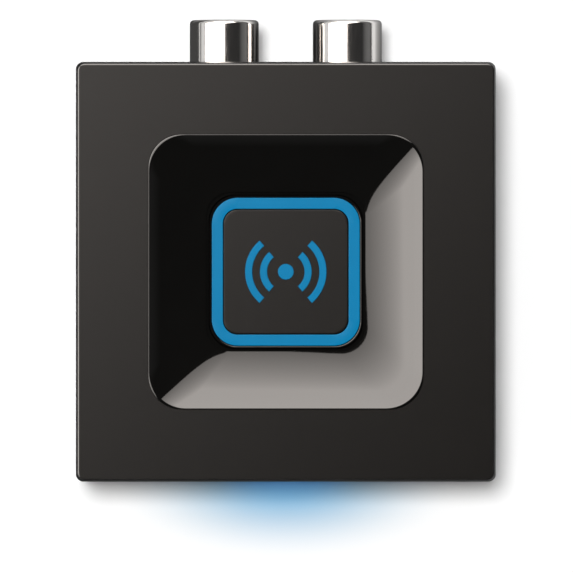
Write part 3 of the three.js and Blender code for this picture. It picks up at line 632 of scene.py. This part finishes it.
def base():
    """The base plate with its rim, board posts and sill, and its recesses for pad, screws and light guide."""
    rim, rim_thick = INSIDE - 2 * GAP, 1.2
    plate = squares(
        "base_shell",
        [
            (BASE_HALF - 6, 0.9, BASE_BOTTOM, 0),
            (BASE_HALF, CORNER, BASE_BOTTOM, 0.45),
            (BASE_HALF, CORNER, BASE_FLOOR, 0.12),
            (BASE_HALF - 1, CORNER, BASE_FLOOR, 0),
        ],
        closed=False,
    )
    wall = squares(
        "rim",
        [
            (rim, CORNER, BASE_ROOT, 0),
            (rim, CORNER, BOARD_SEAT, 0.2),
            (rim - rim_thick, 0.4, BOARD_SEAT, 0.2),
            (rim - rim_thick, 0.4, BASE_ROOT, 0),
        ],
    )
    above = BOARD_SEAT + 1.05
    carved(wall, block("gate", (-BODY_HALF, PANEL_LOW.y, BASE_ROOT - 0.5), (BODY_HALF, BODY_HALF, above)))
    carved(wall, *posts("clear", BOSS_RADIUS + SLIDE, BASE_FLOOR, above, screw_spots()))
    sill_half = BAY_HALF - GAP
    sill = block("sill", (-sill_half, PANEL_LOW.y, BASE_ROOT), (sill_half, SILL_HALF_DEPTH, SILL_TOP), 0.2)
    groove_low = (-BODY_HALF, PANEL_LOW.y - OVER, SILL_TOP - PANEL_LAP)
    groove_high = (BODY_HALF, PANEL_HIGH.y + GAP, SILL_TOP + OVER)
    carved(sill, block("groove", groove_low, groove_high))
    stand_spots = [(x, y) for x in (-14, 14) for y in (-8, 8)]
    stands = posts("stand", 1.6, BASE_ROOT, BOARD_SEAT, stand_spots)
    joined(plate, wall, sill, *stands)
    below, lead_in = BASE_BOTTOM - OVER, 0.3
    chamfer_top = BASE_BOTTOM + 0.25
    pad_half, pad_corner = PAD_HIGH.x + 2 * GAP, PAD_CORNER + 2 * GAP
    recess = squares(
        "recess",
        [
            (pad_half + lead_in, pad_corner + lead_in, below, 0),
            (pad_half + lead_in, pad_corner + lead_in, BASE_BOTTOM, 0),
            (pad_half, pad_corner, chamfer_top, 0),
            (pad_half, pad_corner, PAD_HIGH.z + GAP, 0),
        ],
        closed=False,
    )
    guide_half = GUIDE_HIGH.x + 2 * GAP
    slot_low = (-guide_half, -BODY_HALF, GUIDE_LOW.z - GAP)
    slot_high = (guide_half, GUIDE_HIGH.y + 2 * GAP, above)
    well_radius, well_top, hole_radius = 2.1, 1.9, 1.1
    wells = []
    for x, y in screw_spots():
        stations = [
            (well_radius + lead_in, below, 0),
            (well_radius + lead_in, BASE_BOTTOM, 0),
            (well_radius, chamfer_top, 0),
            (well_radius, well_top, 0),
        ]
        wells.append(moved(turned("well", stations, closed=False, sides=64), x, y))
    holes = posts("hole", hole_radius, BASE_BOTTOM, above, screw_spots())
    carved(plate, recess, block("slot", slot_low, slot_high), *wells, *holes)
    return fitted(plate, "receiver", ["base_cover"], BASE_BLACK)


def pad():
    """The rubber pad, with two rounded grooves that follow its outline."""
    half, top = PAD_HIGH.x, PAD_HIGH.z
    groove_wide, groove_deep = 0.9, 0.35
    stations = [(half - 9, 2.0, 0, 0)]
    for inset in (6.0, 3.2):
        corner = max(PAD_CORNER - inset, 1.2)
        inner = half - inset
        outer, outer_corner = inner + groove_wide, corner + groove_wide
        stations += [
            (inner, corner, 0, 0.12),
            (inner, corner, groove_deep, 0.15),
            (outer, outer_corner, groove_deep, 0.15),
            (outer, outer_corner, 0, 0.12),
        ]
    stations += [(half, PAD_CORNER, 0, 0.3), (half, PAD_CORNER, top, 0.15)]
    stations.append((half - 2, PAD_CORNER - 2, top, 0))
    piece = squares("rubber_pad", stations, closed=False)
    return fitted(piece, "receiver", ["base_pad"], PAD_RUBBER)


def screw(node):
    """A pan-head screw, head down, with a cross recess and a rolled thread."""
    low, high = box_of(node)
    head, shank, root, crest = 1.8, 0.75, 0.7, 0.95
    seat = low.z + 1.1
    thread_start, thread_end = seat + 0.5, high.z - 0.9
    turns = 7
    pitch = (thread_end - thread_start) / turns
    thread = []
    for k in range(turns):
        z = thread_start + k * pitch
        thread += [(root, z, 0), (crest, z + pitch * 0.5, 0.04)]
    stations = [
        (0.3, low.z, 0),
        (head, low.z, 0.55),
        (head, seat, 0.12),
        (shank, seat, 0.08),
        *thread,
        (root, thread_end, 0),
        (0.06, high.z, 0),
    ]
    piece = turned("screw_" + node[-1], stations, closed=False, sides=48)
    # Half length, half width and height of the tapered arms of the cross recess.
    arm_sections = ((1.0, 0.25, low.z - 0.2), (0.9, 0.2, low.z), (0.45, 0.13, low.z + 0.62))
    for turn in (0, math.pi / 2):
        rings = []
        for length, width, z in arm_sections:
            rings.append([(x * length, y * width, z) for x, y in ((-1, -1), (1, -1), (1, 1), (-1, 1))])
        carved(piece, spun(loft("arm", rings), turn))
    moved(piece, (low.x + high.x) / 2, (low.y + high.y) / 2)
    return fitted(piece, "receiver", [node], SCREW_STEEL)


def guide():
    """The status light's guide: a bar behind the base's front edge, and a leg up to the lamp."""
    leg_half, leg_front = 3, -22.2
    edge = 0.15
    bar = block("guide_bar", tuple(GUIDE_LOW), (GUIDE_HIGH.x, GUIDE_HIGH.y, PARTING - GAP), edge)
    leg_low = (-leg_half, leg_front, GUIDE_LOW.z)
    leg = block("leg", leg_low, (leg_half, GUIDE_HIGH.y, GUIDE_HIGH.z), edge)
    joined(bar, leg)
    return fitted(bar, "receiver", ["light_guide"], GUIDE_BLUE)


# ---------------------------------------------------------------- bezel and button


def dish_stations():
    """The dish from its rim to the button: an arc in section, with corners that tighten on the way in."""
    rim_steps, dish_steps = 9, 30
    middle_half = RIM_HALF - RIM_ROUND
    middle_z = RIM_TOP - RIM_ROUND
    end = middle_half - RIM_ROUND * math.sin(DISH_OUTER)
    end_z = middle_z + RIM_ROUND * math.cos(DISH_OUTER)
    radius = (end - DISH_START) / (math.sin(DISH_OUTER) - math.sin(DISH_INNER))
    end_corner = CREST_CORNER - (middle_half - end)
    made = []
    for k in range(rim_steps):
        angle = k / rim_steps * (math.pi / 2 + DISH_OUTER)
        out = RIM_ROUND * (math.cos(angle) - 1)
        share = min(-out / RIM_ROUND, 1)
        corner = RIM_CORNER + share * (CREST_CORNER - RIM_CORNER) + min(out + RIM_ROUND, 0)
        made.append((RIM_HALF + out, corner, middle_z + RIM_ROUND * math.sin(angle), 0))
    for k in range(dish_steps + 1):
        slope = DISH_OUTER + (DISH_INNER - DISH_OUTER) * k / dish_steps
        half = end - radius * (math.sin(DISH_OUTER) - math.sin(slope))
        z = end_z - radius * (math.cos(slope) - math.cos(DISH_OUTER))
        share = (half - DISH_START) / (end - DISH_START)
        corner = DISH_START_CORNER + share * (end_corner - DISH_START_CORNER)
        made.append((half, corner, z, 0))
    return made


def bezel():
    """The dished bezel: flange under the roof, proud rim, dish, and the collar that guides the button."""
    flange = (BEZEL_HIGH.x, RIM_CORNER + 1)
    flange_top = ROOF - GAP
    flange_bottom = flange_top - 1.2
    dish = dish_stations()
    ledge = dish[-1][2] - SHADOW_GAP_DEPTH
    hole = (BUTTON_HALF + SLIDE, BUTTON_CORNER + SLIDE)
    collar_wall = 1.2
    collar = (hole[0] + collar_wall, hole[1] + collar_wall)
    stations = [
        (*flange, flange_bottom, 0.1),
        (*flange, flange_top, 0.1),
        (RIM_HALF, RIM_CORNER, flange_top, 0),
        *dish,
        (DISH_START, DISH_START_CORNER, ledge, 0),
        (*hole, ledge, 0),
        (*hole, COLLAR_BOTTOM, 0.1),
        (*collar, COLLAR_BOTTOM, 0.1),
        (*collar, flange_top - 2.1, 0),
        (RIM_HALF - 0.2, RIM_CORNER - 0.2, flange_bottom, 0),
    ]
    return fitted(squares("dish", stations), "receiver", ["dish_bezel"], DISH_BLACK, 50)


def carrier():
    """The button's gloss surround: a tray with a fine lip, a skirt with catches, ribs and the switch post."""
    skirt_bottom = COLLAR_BOTTOM - 0.9
    tray_bottom = 21.8
    skirt, skirt_corner = BUTTON_HALF - 1.0, BUTTON_CORNER - 1
    recess, recess_corner = RING_HIGH.x + 0.08, RING_CORNER + 0.08
    # A flange under the bezel's collar, so that the running gap isn't a way in for light.
    flange_top = COLLAR_BOTTOM - GAP
    flange, flange_corner = BUTTON_HALF + SLIDE + 0.25, BUTTON_CORNER + SLIDE + 0.25
    piece = squares(
        "button_surround",
        [
            (skirt, skirt_corner, tray_bottom, 0),
            (skirt, skirt_corner, skirt_bottom, 0.1),
            (flange, flange_corner, skirt_bottom, 0.1),
            (flange, flange_corner, flange_top, 0.05),
            (BUTTON_HALF, BUTTON_CORNER, flange_top, 0),
            (BUTTON_HALF, BUTTON_CORNER, BUTTON_TOP, 0),
            (recess, recess_corner, BUTTON_TOP, 0.07),
            (recess, recess_corner, RING_LOW.z - GAP, 0),
        ],
        closed=False,
    )
    hook_half = 2
    for side in range(4):
        hook = block("hook", (-hook_half, skirt, skirt_bottom), (hook_half, CARRIER_HIGH.x, flange_top), 0.12)
        joined(piece, spun(hook, side * math.pi / 2))
    rib_reach, rib_half, rib_deep, overlap = skirt + 0.5, 0.45, 2.1, 0.5
    rib_low = (-rib_reach, -rib_half, tray_bottom - rib_deep)
    rib_high = (rib_reach, rib_half, tray_bottom + overlap)
    for turn in (0, math.pi / 2):
        joined(piece, spun(block("rib", rib_low, rib_high), turn))
    stem_radius = 1.5
    stem_stations = [(stem_radius, CARRIER_LOW.z, 0.2), (stem_radius, tray_bottom + overlap, 0)]
    joined(piece, turned("stem", stem_stations, closed=False, sides=48))
    fitted(piece, "button", ["button_carrier"], BUTTON_BLACK)
    wall_start, wall_top, upright = BUTTON_HALF - BUTTON_CORNER, BUTTON_TOP - 0.1, 0.3

    def on_wall(centre, normal):
        outside = max(abs(centre.x), abs(centre.y)) > wall_start
        return outside and abs(normal.z) < upright and centre.z < wall_top

    return refinished(piece, WALL_BLACK, on_wall)


def ring():
    """The blue ring, with its four long edges rounded."""
    outer, low, top = RING_HIGH.x, RING_LOW.z, RING_HIGH.z
    stations = [
        (outer, RING_CORNER, low, 0.05),
        (outer, RING_CORNER, top, 0.08),
        (RING_INNER, CAP_CORNER + 0.1, top, 0.08),
        (RING_INNER, CAP_CORNER + 0.1, low, 0.05),
    ]
    return fitted(squares("blue_ring", stations), "button", ["button_ring"], BLUE, 60)


def mark_solids(low, high, spread=0.0):
    """The wireless mark: a dot between two pairs of arcs, grown by spread all round."""
    dot, stroke, arc_reach, steps = 0.95 + spread, 0.85, math.radians(50), 24
    half_stroke = stroke / 2 + spread
    made = [turned("dot", [(dot, low, 0), (dot, high, 0)], closed=False, sides=64)]
    for radius in (2.7, 4.5):
        wide, narrow = radius + half_stroke, radius - half_stroke
        reach = arc_reach + spread / radius
        for turn in (0, math.pi):
            angles = [turn + reach * (2 * k / steps - 1) for k in range(steps + 1)]
            outer = [(wide * math.cos(a), wide * math.sin(a)) for a in angles]
            inner = [(narrow * math.cos(a), narrow * math.sin(a)) for a in reversed(angles)]
            made.append(extruded("arc", outer + inner, low, high))
    return made


def cap():
    """The satin cap, slotted for the mark."""
    half = CAP_HIGH.x
    low, top = CAP_LOW.z, CAP_HIGH.z
    piece = squares(
        "satin_cap",
        [
            (half - 1.5, 0.4, low, 0),
            (half, CAP_CORNER, low, 0.05),
            (half, CAP_CORNER, top, 0.06),
            (half - 0.3, CAP_CORNER - 0.3, top, 0),
            (half - 1.5, 0.45, top, 0),
        ],
        closed=False,
    )
    mark_gap = 0.03
    carved(piece, *mark_solids(low - OVER, top + OVER, mark_gap))
    return fitted(piece, "button", ["button_cap"], CAP_BLACK)


def icon():
    """The mark on its plate behind the cap."""
    half = RING_INNER - 1.6
    stations = [(half, CAP_CORNER, ICON_LOW.z, 0), (half, CAP_CORNER, CAP_LOW.z - GAP, 0)]
    plate = squares("blue_mark", stations, closed=False)
    root = CAP_LOW.z - 0.15
    joined(plate, *[bevelled(solid, 0.05, 2, 60) for solid in mark_solids(root, ICON_HIGH.z)])
    return fitted(plate, "button", ["button_icon"], BLUE)


def snap_dome():
    """The switch's snap dome: a sprung disc, which in the real switch flattens as the plunger comes down on
    it, drawn here at rest.
    """
    low, high = box_of("switch_dome")
    foot, crown, sheet = low.z, high.z, 0.12
    stations = [
        (0.05, crown - sheet, 0),
        (0.55, crown - sheet, 0.3),
        (1.4, foot + 0.48, 0.3),
        (2.1, foot, 0),
        (high.x, foot, 0),
        (1.5, foot + 0.6, 0.4),
        (0.6, crown, 0.4),
        (0.05, crown, 0),
    ]
    piece = turned("snap_dome", stations, closed=False, sides=64)
    fitted(piece, "receiver", ["switch_dome"], SHEET_METAL)
    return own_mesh(piece)


# ---------------------------------------------------------------- rear panel and sockets


def drill(x, z, radius, lip):
    """A round cut through the panel, with a chamfered mouth."""
    low, high = PANEL_LOW.y, PANEL_HIGH.y
    mouth = radius + lip
    stations = [(radius, low - OVER, 0), (radius, high - lip, 0), (mouth, high, 0), (mouth, high + OVER, 0)]
    return along_y(turned("drill", stations, closed=False), x, 0, z)


def panel():
    """The rear panel: a plate with a softened edge and four round holes."""
    plate = block("panel_plate", tuple(PANEL_LOW), tuple(PANEL_HIGH), 0.12)
    for side in (-1, 1):
        carved(plate, drill(side * PHONO_X, PHONO_HEIGHT, PHONO_RADIUS + SLIDE, 0.15))
        carved(plate, drill(side * SMALL_JACK_X, SMALL_JACK_HEIGHT, SMALL_JACK_RADIUS + 2 * GAP, 0.12))
    return fitted(plate, "receiver", ["rear_panel"], PANEL_BLACK)


def phono(side, x):
    """A phono barrel with its insulator and its split centre contact."""
    high = box_of("phono_shell_" + side)[1]
    reach = high.y - SOCKET_FACE
    place = (x, SOCKET_FACE, PHONO_HEIGHT)
    bore, root = 3.55, -3.0
    collar, collar_back = high.x - x, -0.8
    shell = turned(
        "phono_barrel_" + side,
        [
            (PHONO_RADIUS, root, 0.1),
            (PHONO_RADIUS, collar_back, 0),
            (collar, collar_back, 0.08),
            (collar, -GAP, 0.08),
            (PHONO_RADIUS, -GAP, 0),
            (PHONO_RADIUS, reach, 0.48),
            (bore, reach, 0.12),
            (bore, root, 0.05),
        ],
        steps=7,
        sides=128,
    )
    fitted(along_y(shell, *place), "receiver", ["phono_shell_" + side], NICKEL)

    face = reach - 0.55
    core, sleeve_root = 1.95, -5
    sleeve = turned(
        "phono_insulator_ring_" + side,
        [
            (core, sleeve_root, 0),
            (bore - GAP, sleeve_root, 0),
            (bore - GAP, face, 0.15),
            (core + 0.35, face, 0.08),
            (core, face - 0.4, 0),
        ],
    )
    slot, colour = ("insulator_white", WHITE) if side == "left" else ("insulator_red", RED)
    fitted(along_y(sleeve, *place), "receiver", ["phono_insulator_" + side], colour)

    tip, contact_root = reach - 1.2, -4.5
    outside, inside = core - GAP, 1.62
    contact = turned(
        "phono_sleeve_" + side,
        [(inside, contact_root, 0), (outside, contact_root, 0), (outside, tip, 0.1), (inside, tip, 0.12)],
        sides=64,
    )
    slit_half, slit_deep = 0.12, 2.6
    for turn in (math.pi / 4, 3 * math.pi / 4):
        slit = block("slit", (-3, -slit_half, tip - slit_deep), (3, slit_half, tip + OVER))
        carved(contact, spun(slit, turn))
    fitted(along_y(contact, *place), "receiver", ["phono_contact_" + side], NICKEL)


def nose(name, node, x, bore, material):
    """A small jack's round nose."""
    low, high = box_of(node)
    reach = high.y - SOCKET_FACE
    seat = low.y - SOCKET_FACE
    radius = SMALL_JACK_RADIUS
    stations = [(radius, seat, 0.05), (radius, reach, 0.2), (bore, reach, 0.28), (bore, seat, 0)]
    piece = along_y(turned(name, stations, steps=6), x, SOCKET_FACE, SMALL_JACK_HEIGHT)
    return fitted(piece, "receiver", [node], material)


def power_pin():
    """The power jack's centre pin, with a domed end."""
    low, high = box_of("power_jack_pin")
    tip = high.y - SOCKET_FACE
    root = low.y - SOCKET_FACE
    radius, middle = 0.8, 0.04
    stations = [(middle, root, 0), (radius, root, 0.05), (radius, tip, 0.5), (middle, tip, 0)]
    pin = turned("centre_pin", stations, closed=False, steps=7, sides=48)
    along_y(pin, SMALL_JACK_X, SOCKET_FACE, SMALL_JACK_HEIGHT)
    return fitted(pin, "receiver", ["power_jack_pin"], NICKEL)


# ---------------------------------------------------------------- the pieces that keep their CAD shape

KEPT = {
    JACK_BLACK: ["phono_block", "audio_jack_body", "power_jack_body", "switch_body"],
    GOLD: [
        "audio_jack_tip_contact",
        "audio_jack_ring_contact",
        "audio_jack_sleeve_contact",
        "power_jack_spring",
        "radio_antenna",
    ],
    BOARD_GREEN: ["main_board", "radio_board"],
    SHEET_METAL: ["switch_frame", "radio_shield", "crystal"],
    CHIP_BLACK: [
        "switch_plunger",
        "converter_chip",
        "amplifier_chip",
        "voltage_regulator",
        "inductor",
        "protection_diode",
    ],
    CAN: [f"capacitor_{i}" for i in range(1, 5)],
    CERAMIC: [f"resistor_{i}" for i in range(1, 8)],
    WHITE: ["status_led"],
}


def dress_kept_nodes():
    """Gives the pieces that keep their CAD shape their materials."""
    for material, names in KEPT.items():
        for name in names:
            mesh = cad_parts[name].data
            mesh.materials.clear()
            mesh.materials.append(material)


# ---------------------------------------------------------------- stage, light and camera


# The way towards the big soft light, in plan.
REAR_LEFT = Vector((-1, 1, 0)).normalized()


def plane(name, points, material):
    """A flat sheet that belongs to the stage and not to the object."""
    mesh = bpy.data.meshes.new(name)
    mesh.from_pydata(points, [], [tuple(range(len(points)))])
    mesh.materials.append(material)
    sheet = bpy.data.objects.new(name, mesh)
    bpy.context.scene.collection.objects.link(sheet)
    return sheet


def floor():
    """A pale floor with a painted blue glow where the status light falls, and painted dark reflections near
    the receiver.
    """
    # The second colour is the blue of the painted glow.
    pale, painted_glow_colour = (0.86, 0.86, 0.86), (0.18, 0.40, 0.565)
    finish = Finish("floor", pale, 0.7)
    tree, nodes, links = finish.tree, finish.nodes, finish.links
    finish.shader.inputs["Specular IOR Level"].default_value = 0.1

    # Painted glow: the floor's colour turns a darker blue in an ellipse about the middle of the receiver's
    # front edge, standing in for the status light's glow.
    glow_start, glow_end, glow_stretch = 1.0, 10.3, 2.17
    shift = nodes.new("ShaderNodeMapping")
    shift.inputs["Location"].default_value = (0, BODY_HALF * MM, 0)
    squeeze = nodes.new("ShaderNodeMapping")
    squeeze.inputs["Scale"].default_value = (1 / glow_stretch, 1, 1)
    links.new(finish.place, shift.inputs["Vector"])
    links.new(shift.outputs["Vector"], squeeze.inputs["Vector"])
    away = vector_math(tree, "LENGTH", squeeze.outputs["Vector"])
    painted_glow = map_range(tree, away, glow_start * MM, glow_end * MM, 1.0, 0.0, smooth=True)
    finish.colours(painted_glow, pale, painted_glow_colour)

    # Painted dark reflections: discs where reflections see the floor dark, standing in for shade round the
    # receiver; for each, its middle in plan, and where it starts and ends its fade.
    painted_dark_discs = []
    for x, y, fade_start, fade_end in ((-15, -10, 45, 90), (-130, 40, 100, 130)):
        away = vector_math(tree, "DISTANCE", finish.place, (x * MM, y * MM, 0))
        painted_dark_discs.append(map_range(tree, away, fade_start * MM, fade_end * MM, 1.0, 0.0))
    near = value_math(tree, "MAXIMUM", *painted_dark_discs)
    # Reflections near the receiver see a painted dark floor.
    reflected = nodes.new("ShaderNodeLightPath").outputs["Is Glossy Ray"]
    painted_dark_reflection = nodes.new("ShaderNodeBsdfDiffuse")
    painted_dark_reflection.inputs["Color"].default_value = (0.06, 0.06, 0.06, 1)
    factor = value_math(tree, "MULTIPLY", reflected, near)
    switched(tree, factor, finish.shader.outputs["BSDF"], painted_dark_reflection.outputs["BSDF"], nodes["Material Output"])
    far = 6.0
    return plane("floor", [(-far, -far, 0), (far, -far, 0), (far, far, 0), (-far, far, 0)], finish.material)


def softbox():
    """A large soft light over the receiver's rear left, whose near edge runs along a diagonal.

    It brightens away from that edge, and only reflections see it. Its sizes are in metres.
    """
    height, near, far, half_width = 0.4, 0.024, 0.6, 0.62
    ramp_end, dim, bright = 0.25, 3.1, 8.6
    across = Vector((1, 1, 0)).normalized()
    corners = ((near, -half_width), (near, half_width), (far, half_width), (far, -half_width))
    points = [REAR_LEFT * d + across * w + Vector((0, 0, height)) for d, w in corners]
    material = bpy.data.materials.new("softbox")
    material.use_nodes = True
    tree = material.node_tree
    nodes, links = tree.nodes, tree.links
    nodes.clear()
    reach = vector_math(tree, "DOT_PRODUCT", nodes.new("ShaderNodeTexCoord").outputs["Object"], REAR_LEFT)
    emission = nodes.new("ShaderNodeEmission")
    emission.inputs["Color"].default_value = (1.0, 0.935, 0.885, 1)
    links.new(map_range(tree, reach, near, ramp_end, dim, bright), emission.inputs["Strength"])
    output = nodes.new("ShaderNodeOutputMaterial")
    links.new(emission.outputs["Emission"], output.inputs["Surface"])
    sheet = plane("softbox", points, material)
    sheet.visible_camera = False
    sheet.visible_shadow = False
    sheet.visible_diffuse = False
    return sheet


def sun(name, energy, width, lean_left=0.0, lean_back=0.0):
    """A light from far above, width degrees across, that leans by degrees to the left and the rear."""
    light = bpy.data.lights.new(name, "SUN")
    light.energy = energy
    light.angle = math.radians(width)
    lamp = bpy.data.objects.new(name, light)
    bpy.context.scene.collection.objects.link(lamp)
    towards = Vector((-math.tan(math.radians(lean_left)), math.tan(math.radians(lean_back)), 1))
    lamp.rotation_euler = towards.to_track_quat("Z", "Y").to_euler()
    lamp.visible_glossy = False
    return lamp


def surroundings():
    """A dark studio with a paler band low down at the rear left; the camera sees a pale wall."""
    world = bpy.data.worlds.new("studio")
    world.use_nodes = True
    bpy.context.scene.world = world
    tree = world.node_tree
    nodes, links = tree.nodes, tree.links
    nodes.clear()
    direction = nodes.new("ShaderNodeTexCoord").outputs["Generated"]

    # How bright the band is at each height, where 0 is level with the object and 1 is overhead.
    heights = ((0.0, 0.25), (0.08, 0.3), (0.16, 0.95), (0.35, 0.8), (0.5, 0.5), (0.62, 0.0), (1.0, 0.0))
    split = nodes.new("ShaderNodeSeparateXYZ")
    ramp = nodes.new("ShaderNodeValToRGB")
    points = ramp.color_ramp.elements
    points[0].position, points[1].position = heights[0][0], heights[-1][0]
    for position, _ in heights[1:-1]:
        points.new(position)
    for point, (_, value) in zip(points, heights):
        point.color = (value, value, value, 1)
    links.new(direction, split.inputs["Vector"])
    links.new(split.outputs["Z"], ramp.inputs["Fac"])

    # The band fades from the rear left round to the front right, and a little light is everywhere.
    side = vector_math(tree, "DOT_PRODUCT", direction, REAR_LEFT)
    share = map_range(tree, side, -0.1, 0.4, 0.18, 1.0)
    everywhere = 0.035
    band = value_math(tree, "MULTIPLY_ADD", ramp.outputs["Color"], share, everywhere)
    light = nodes.new("ShaderNodeBackground")
    links.new(band, light.inputs["Color"])

    wall = nodes.new("ShaderNodeBackground")
    wall.inputs["Color"].default_value = (0.9, 0.9, 0.9, 1)
    seen = nodes.new("ShaderNodeLightPath").outputs["Is Camera Ray"]
    output = nodes.new("ShaderNodeOutputWorld")
    switched(tree, seen, light.outputs["Background"], wall.outputs["Background"], output)


def camera():
    """Straight above the receiver, with the rear at the top of the picture."""
    aim_x, aim_y = 0.087, -1.786
    seen_width = 69.3
    data = bpy.data.cameras.new("camera")
    data.sensor_width = 36.0
    data.lens = 800.0
    data.clip_end = 20.0
    eye = bpy.data.objects.new("camera", data)
    bpy.context.scene.collection.objects.link(eye)
    distance = seen_width * data.lens / data.sensor_width
    eye.location = Vector((aim_x, aim_y, TOP + distance)) * MM
    bpy.context.scene.camera = eye


camera()
housing()
base()
pad()
for node in SCREW_NODES:
    screw(node)
guide()
bezel()
carrier()
ring()
cap()
icon()
snap_dome()
panel()
phono("left", -PHONO_X)
phono("right", PHONO_X)
nose("audio_nose", "audio_jack_ferrule", -SMALL_JACK_X, bore=1.85, material=NICKEL)
nose("power_nose", "power_jack_nose", SMALL_JACK_X, bore=2.1, material=JACK_BLACK)
power_pin()
dress_kept_nodes()
floor()
softbox()
sun("key", energy=3.15, width=9.4, lean_left=3.05, lean_back=4.1)
sun("fill", energy=0.45, width=120.0)
surroundings()
bpy.context.scene.view_settings.view_transform = "Standard"
